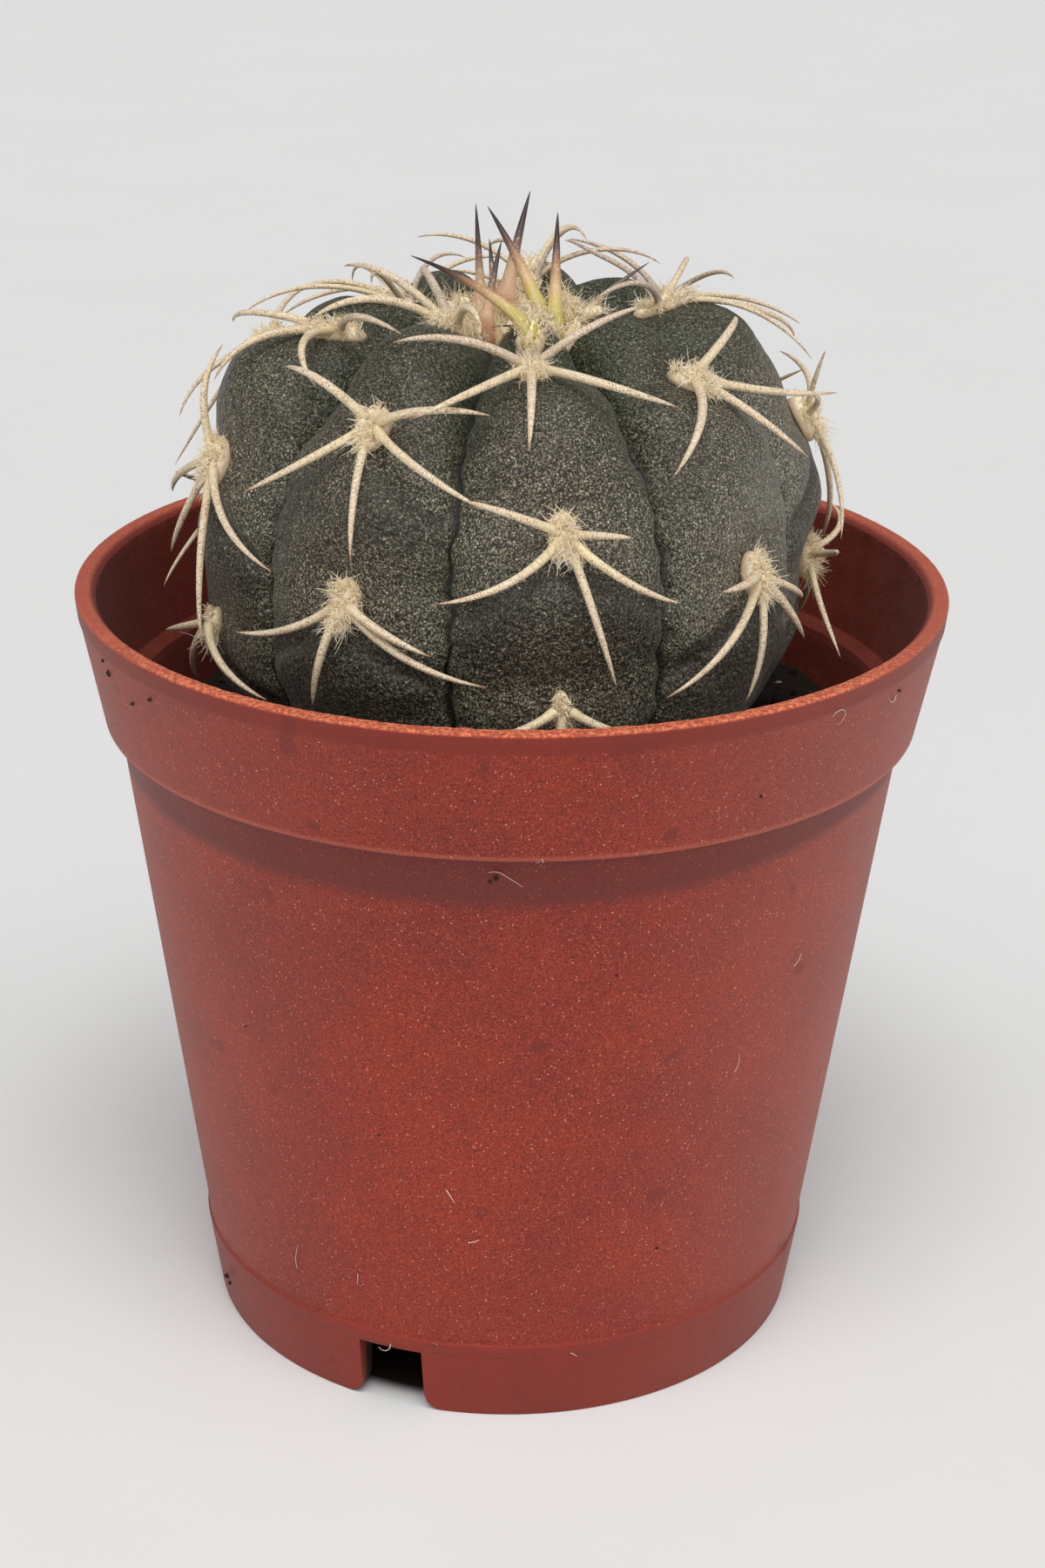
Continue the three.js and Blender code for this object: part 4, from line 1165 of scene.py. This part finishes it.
class CACTUS_OT_stem(bpy.types.Operator):
    """Grows the ribbed globe with its chinned humps, sunken crown and narrow base"""

    bl_idname = "cactus.stem"
    bl_label = "Stem"

    def execute(self, context):
        stem = start(bpy.ops.mesh.primitive_uv_sphere_add, segments=STEM_SECTORS, ring_count=STEM_RINGS, radius=1)
        stem.name = stem.data.name = "cactus_skin"
        ball = coordinates(stem)
        down = np.arccos(np.clip(ball[:, 2], -1, 1)) / math.pi
        polar = 180 * down * (0.75 + 0.25 * down**3)
        place = np.degrees(np.arctan2(ball[:, 0], -ball[:, 1])) / RIB_PITCH
        azimuth = azimuth_of(place)
        depth, flank, chin = skin_relief(polar, azimuth)
        fade = smooth(polar, 0, 12) * (1 - smooth(polar, 140, 176))
        groove = 0.5 * flank**60 * smooth(polar, 24, 50) * fade
        under = below_cushion(polar, place) - 5 - 11 * flank
        arch = bell(under, 2.2) * smooth(flank, 0.1, 0.35) * (1 - smooth(flank, 0.8, 1))
        # Painted shade: how dark the skin is painted under each chin.
        dusk = 0.6 * smooth(under, -2, 1) * (1 - smooth(under, 1, 18))
        dusk = dusk + 0.4 * bell(under, 1.2) * smooth(flank, 0.1, 0.3)
        dusk = dusk * (1 - smooth(flank, 0.85, 1)) * smooth(polar, 50, 75)
        groove = groove + 0.5 * arch * smooth(polar, 45, 60) * (1 - smooth(polar, 112, 125))
        fill = (0.42 * flank**7 + 0.16 * flank**2) * smooth(polar, 48, 75) * (1 - smooth(polar, 105, 125))
        belly = 0.3 * (chin * (1 - flank**2) - 0.4) * smooth(polar, 20, 40) * (1 - smooth(polar, 105, 125))
        waver = 0.5 * np.sin(polar * 0.31 + 2 * np.round(place)) + 0.35 * np.sin(polar * 0.83 + place)
        way = direction(polar, azimuth + waver * smooth(polar, 20, 60) * (1 - smooth(polar, 110, 140)))
        points = from_centre(way, globe_radius(polar, azimuth) - depth - groove + fill + belly)
        wrinkle = np.array([knobs(Vector(p), (0.16, 0.2), (0.45, 0.12), (1.4, 0.035)) for p in points])
        points = points + way * (wrinkle * fade)[:, None]
        place_vertices(stem, points * MM)
        paint(stem, "relief", np.column_stack([flank, dusk, polar / 180]))
        return finish_piece(stem, skin_finish(context.scene.cactus_plant), "cactus_stem", slot="cactus_skin")


# ---- spines and felt

SPINE_SIDES = 10
SPINE_RINGS = 120
YOUNG_SIDES = 12
YOUNG_RINGS = 90
HAIR_SIDES = 3
HAIR_RINGS = 5
CUSHION_HAIRS = 420
LOW_HAIRS = 70
CROWN_HAIRS = 2600
TUFTS = 26


def spine_width(radius):
    """An awl: a slightly swollen root, a long even shaft, a sharp tip."""
    return lambda t: radius * ((1 - 0.25 * t) * (1 - t**4) ** 0.8 + 0.16 * bell(t, 0.1))


def felt_pad(sheaf, centre, half_width, half_height, rise, seed, model, bare=False):
    """A lumpy pad of felt that follows the skin, flat underneath, or the bare bump that a young spine stands on."""
    ball, faces = model
    east, north = compass(centre)
    spread = np.hypot(ball[:, 0], ball[:, 1])
    turn = np.arctan2(ball[:, 0], ball[:, 1])
    reach_east = np.sin(turn) * half_width / ARC_RADIUS * spread
    reach_north = (np.cos(turn) * half_height - 0.15) / ARC_RADIUS * spread
    way = unit(centre + east * reach_east[:, None] + north * reach_north[:, None])
    shift = Vector((seed, 0, 0))
    lumps = np.array([
        noise.noise(Vector((x * 3 + seed, y * 4.5, z * 3))) + 0.6 * noise.noise(Vector((x, y, z)) * 8 + shift)
        for x, y, z in ball
    ])
    height = np.where(ball[:, 2] > 0, ball[:, 2] * rise * (1 + 0.7 * lumps), -0.12)
    depth = np.clip(ball[:, 2] * (1 + lumps), 0, 1)
    points = from_centre(way, skin_along(way) + height)
    sheaf.add(points, faces, (0, 0, 0) if bare else (depth, 0.25, depth), 0 if bare else 1)


def hairs(sheaf, roots, outward, count, length, chance, strand, droop, pale, width):
    """Short curly hairs that leave the felt every way."""
    for _ in range(count):
        pick = chance.randrange(len(roots))
        root = roots[pick] + gauss(chance, 0.1, 0.1, 0.1)
        out = unit(outward[pick] + gauss(chance, 0.6, 0.6, 0.6))
        curl = gauss(chance, 1.1, 1.1, 1.1) + np.array([0, 0, -droop])
        long = length * chance.uniform(0.5, 1.35)

        def curve(t):
            t = np.asarray(t, float)[..., None]
            return root + long * (out * t + curl * t**2 * 0.4 + np.cross(out, curl) * np.sin(4.5 * t) * 0.13)

        points, along, _ = bend_rod(strand, curve, np.cross(out, curl) + 0.01, lambda t: width * (1 - 0.75 * t))
        tone = min(1.0, max(0.0, pale + chance.gauss(0, 0.35)))
        sheaf.add(points, strand[1], (0.45 + 0.55 * along, tone, 0), 1)


class CACTUS_OT_spines(bpy.types.Operator):
    """Sets a felt cushion and its star of scaly spines on every bump of the ribs"""

    bl_idname = "cactus.spines"
    bl_label = "Cushions and spines"

    def execute(self, context):
        settings = context.scene.cactus_plant
        materials = [spine_finish(settings), felt_finish(settings)]
        rod, strand = rod_model(SPINE_SIDES, SPINE_RINGS), rod_model(HAIR_SIDES, HAIR_RINGS)
        ball = ball_model(34, 20)
        for number, cushion in enumerate(settled_plant()[1]):
            chance = random.Random(100 + number)
            centre, name = cushion["centre"], cushion["name"]
            sheaf = Sheaf()
            size = 1 if cushion["polar"] < 95 else 0.62
            felt_pad(sheaf, centre, 0.9 * size, 1.55 * size, 0.95 * size, number * 3.7, ball)
            for curve, spine in cushion["curves"]:
                self.spine(sheaf, rod, curve, spine, cushion, chance, settings)
            roots, outward, north = self.felt_points(centre, chance, size)
            length = settings.hair_length / MM * size
            hairs(sheaf, roots, outward, int(CUSHION_HAIRS * size), length, chance, strand, 0.4, 0.3, 0.046)
            middle = from_centre(centre, skin_along(centre))
            low = [root for root in roots if (root - middle) @ north < -0.6]
            if low:
                away = [centre * 0.5 - north * 0.8] * len(low)
                hairs(sheaf, low, away, LOW_HAIRS, 0.8, chance, strand, 0.5, 0.95, 0.03)
            finish_piece(sheaf.piece(f"cushion_{name}", "growth", materials), None, f"spines_{name}", slot="bone_spine")
        return {"FINISHED"}

    def spine(self, sheaf, rod, curve, spine, cushion, chance, settings):
        """One grown spine: greyer where it points up near the crown, thinner at the plant's sides and back."""
        up = math.cos(math.radians(spine[0]))
        age = 0.15 + 0.6 * (cushion["polar"] < 45) * max(0.0, 0.35 + up) + chance.uniform(-0.12, 0.2)
        slender = 1 - 0.32 * smooth(abs(float(angles_of(cushion["centre"])[1])), 45, 115)
        radius = settings.spine_radius / MM * chance.uniform(0.9, 1.05) * slender * (0.86 if spine[1] < 5 else 1)
        points, along, scales = bend_rod(rod, curve, cushion["centre"], spine_width(radius), 0.12, chance.uniform(0, 6))
        sheaf.add(points, rod[1], (along, min(1.0, max(0.0, age)), scales))

    def felt_points(self, centre, chance, size):
        """Roots over the cushion, the ways that hairs leave them, and the cushion's north."""
        east, north = compass(centre)
        roots, outward = [], []
        for _ in range(60):
            turn, far = chance.uniform(0, 2 * math.pi), math.sqrt(chance.random())
            sideways = size * (east * math.sin(turn) * 0.85 * far + north * (math.cos(turn) * 1.5 * far - 0.15))
            way = unit(centre + sideways / ARC_RADIUS)
            roots.append(from_centre(way, skin_along(way) + 0.95 * size * math.sqrt(1 - 0.85 * far**2)))
            outward.append(centre * 0.9 + sideways * 0.55)
        return roots, outward, north


class CACTUS_OT_crown(bpy.types.Operator):
    """Raises the young spines and the woolly felt in the sunken crown"""

    bl_idname = "cactus.crown"
    bl_label = "Crown"

    def execute(self, context):
        settings = context.scene.cactus_plant
        materials = [young_finish(), felt_finish(settings)]
        rod, strand = rod_model(YOUNG_SIDES, YOUNG_RINGS), rod_model(HAIR_SIDES, HAIR_RINGS)
        ball = ball_model(24, 12)
        chance = random.Random(5)
        sheaf = Sheaf()
        for curve, age, radius in settled_plant()[0]:
            self.young_spine(sheaf, rod, curve, age, radius)
        roots, outward = [], []

        def scatter(way, count, spread, lift, leaving):
            for _ in range(count):
                off = unit(way + gauss(chance, spread, spread, 0))
                roots.append(from_centre(off, skin_along(off) + lift))
                outward.append(np.array([0, 0, 0.8]) + leaving(off))

        for number, (x, y, _, _, _, age, _, right, forward) in enumerate(YOUNG_SPINES):
            way = unit(np.array([x + right - STEM_CENTRE[0], y - forward, CROWN_HEIGHT]))
            felt_pad(sheaf, way, 1.0, 1.0, 0.95, number * 4.1, ball)
            if age < 0.35:
                felt_pad(sheaf, way, 0.75, 0.8, 1.1, number * 2.3, ball, bare=True)
            scatter(way, 22, 0.035, 0.85, lambda off: (off - way) * 14)
        for number in range(TUFTS):
            turn = number * 2.4
            far = 4.6 * math.sqrt((number + 0.5) / TUFTS)
            way = unit(np.array([0.4 + far * math.sin(turn), -1.5 - far * math.cos(turn), CROWN_HEIGHT]))
            felt_pad(sheaf, way, 0.8, 0.9, 0.45, number * 2.9, ball)
            scatter(way, 10, 0.025, 0.3, lambda off: off * 0.3)
        hairs(sheaf, roots, outward, CROWN_HAIRS, 0.7, chance, strand, 0.1, 0.1, 0.034)
        finish_piece(sheaf.piece("young_crown", "growth", materials), None, "spines_crown", slot="young_spine")
        return {"FINISHED"}

    def young_spine(self, sheaf, rod, curve, age, radius):
        """A spine with a thick root sunk in the felt; only the oldest is scaly."""
        flare = 0.75 if 0.35 < age < 0.65 else 0.3
        scaly = 0.12 if age > 0.9 else 0.02

        def width(t):
            return radius * ((1 - t) ** 0.7 + flare * bell(t, 0.16))

        points, along, scales = bend_rod(rod, curve, np.array([0.6, -0.8, 0]), width, scaly)
        points = points - np.array([0, 0, 1.0]) * bell(along, 0.07)[:, None]
        sheaf.add(points, rod[1], (along, age, scales))


# ---- stage

CAMERA_PLACE = (0.0, -180.131, 110.195)
CAMERA_FORWARD = (0.00433, 0.92363, -0.38327)
CAMERA_UP = (-0.01322, 0.38329, 0.92353)
SENSOR_WIDTH = 36
NEAREST_SEEN = 0.01
# The wide front light is shared over several azimuths: each with its share.
FILL_SHARES = ((-64, 0.19), (-30, 0.17), (4, 0.17), (38, 0.21), (72, 0.28))


class CACTUS_OT_stage(bpy.types.Operator):
    """Lays a pale floor, hangs soft lights and sets the camera"""

    bl_idname = "cactus.stage"
    bl_label = "Stage"

    def execute(self, context):
        settings = context.scene.cactus_stage
        self.floor(settings)
        self.lights(context, settings)
        self.camera(context, settings)
        return {"FINISHED"}

    def floor(self, settings):
        floor = start(bpy.ops.mesh.primitive_grid_add, x_subdivisions=8, y_subdivisions=8, size=8)
        floor.name = floor.data.name = "floor"
        f = Finish("studio_paper")
        base = f.over(
            settings.floor,
            # Painted light: the floor is painted lighter towards the front.
            (f.parts("XYZ", f.object)[1].span(0.16, 0.0), (0.862, 0.876, 0.866)),
            (f.noise(40, 3, 0.6).span(0.3, 0.7, 0, 0.4), (0.82, 0.82, 0.815)),
            # Painted shadow: the floor under the pot's foot is painted nearly black.
            (f.length(f.object).span(0.0185, 0.0172), (0.02, 0.015, 0.012)),
        )
        normal = f.bump(f.noise(0.6, 3, 0.6), 0.05, 0.3)
        floor.data.materials.append(f.done(base, 0.8, normal, Specular_IOR_Level=0.2))

    def lights(self, context, settings):
        world = bpy.data.worlds.new("even_studio")
        world.use_nodes = True
        sky = world.node_tree.nodes["Background"]
        sky.inputs["Color"].default_value = (0.98, 0.99, 1.0, 1)
        sky.inputs["Strength"].default_value = settings.sky
        context.scene.world = world
        panels = [("top_panel", -2, 66, 30, settings.key)]
        panels += [("front_panel", side, 36, 50, settings.fill * share) for side, share in FILL_SHARES]
        for name, side, height, spread, power in panels:
            lamp = bpy.data.lights.new(name, "SUN")
            lamp.angle = math.radians(spread)
            lamp.energy = power
            panel = bpy.data.objects.new(name, lamp)
            rise = math.radians(height)
            panel.location = Matrix.Rotation(math.radians(side), 3, "Z") @ Vector((0, -math.cos(rise), math.sin(rise)))
            panel.rotation_mode = "QUATERNION"
            panel.rotation_quaternion = (-panel.location).to_track_quat("-Z", "Y")
            context.scene.collection.objects.link(panel)

    def camera(self, context, settings):
        data = bpy.data.cameras.new("camera")
        data.lens, data.sensor_width, data.clip_start = settings.lens, SENSOR_WIDTH, NEAREST_SEEN
        camera = bpy.data.objects.new("camera", data)
        forward, up = Vector(CAMERA_FORWARD).normalized(), Vector(CAMERA_UP).normalized()
        right = forward.cross(up)
        turn = Matrix((right, right.cross(forward), -forward)).transposed().to_4x4()
        camera.matrix_world = Matrix.Translation(Vector(CAMERA_PLACE) * MM) @ turn
        context.scene.collection.objects.link(camera)
        context.scene.camera = camera
        context.scene.view_settings.view_transform = "Standard"


# ---- panel and registration

OPERATORS = (CACTUS_OT_stage, CACTUS_OT_pot, CACTUS_OT_soil, CACTUS_OT_stem, CACTUS_OT_spines, CACTUS_OT_crown)


class CACTUS_PT_panel(bpy.types.Panel):
    """Lists the pieces and their settings."""

    bl_idname = "CACTUS_PT_panel"
    bl_label = "Potted Round Cactus"
    bl_space_type = "VIEW_3D"
    bl_region_type = "UI"
    bl_category = "Cactus"

    def draw(self, context):
        for operator in OPERATORS:
            self.layout.operator(operator.bl_idname)
        for group in (context.scene.cactus_pot, context.scene.cactus_plant, context.scene.cactus_stage):
            box = self.layout.box()
            for name in group.__annotations__:
                box.prop(group, name)


SETTINGS = {
    "cactus_pot": CactusPotSettings,
    "cactus_plant": CactusPlantSettings,
    "cactus_stage": CactusStageSettings,
}


def register():
    for group in SETTINGS.values():
        bpy.utils.register_class(group)
    for operator in (*OPERATORS, CACTUS_PT_panel):
        bpy.utils.register_class(operator)
    for name, group in SETTINGS.items():
        setattr(bpy.types.Scene, name, bpy.props.PointerProperty(type=group))


def unregister():
    for name in SETTINGS:
        delattr(bpy.types.Scene, name)
    for operator in (CACTUS_PT_panel, *reversed(OPERATORS)):
        bpy.utils.unregister_class(operator)
    for group in reversed(list(SETTINGS.values())):
        bpy.utils.unregister_class(group)


def main():
    register()
    bpy.ops.cactus.stage()
    bpy.ops.cactus.pot()
    bpy.ops.cactus.soil()
    bpy.ops.cactus.stem()
    bpy.ops.cactus.spines()
    bpy.ops.cactus.crown()


if __name__ == "__main__":
    main()
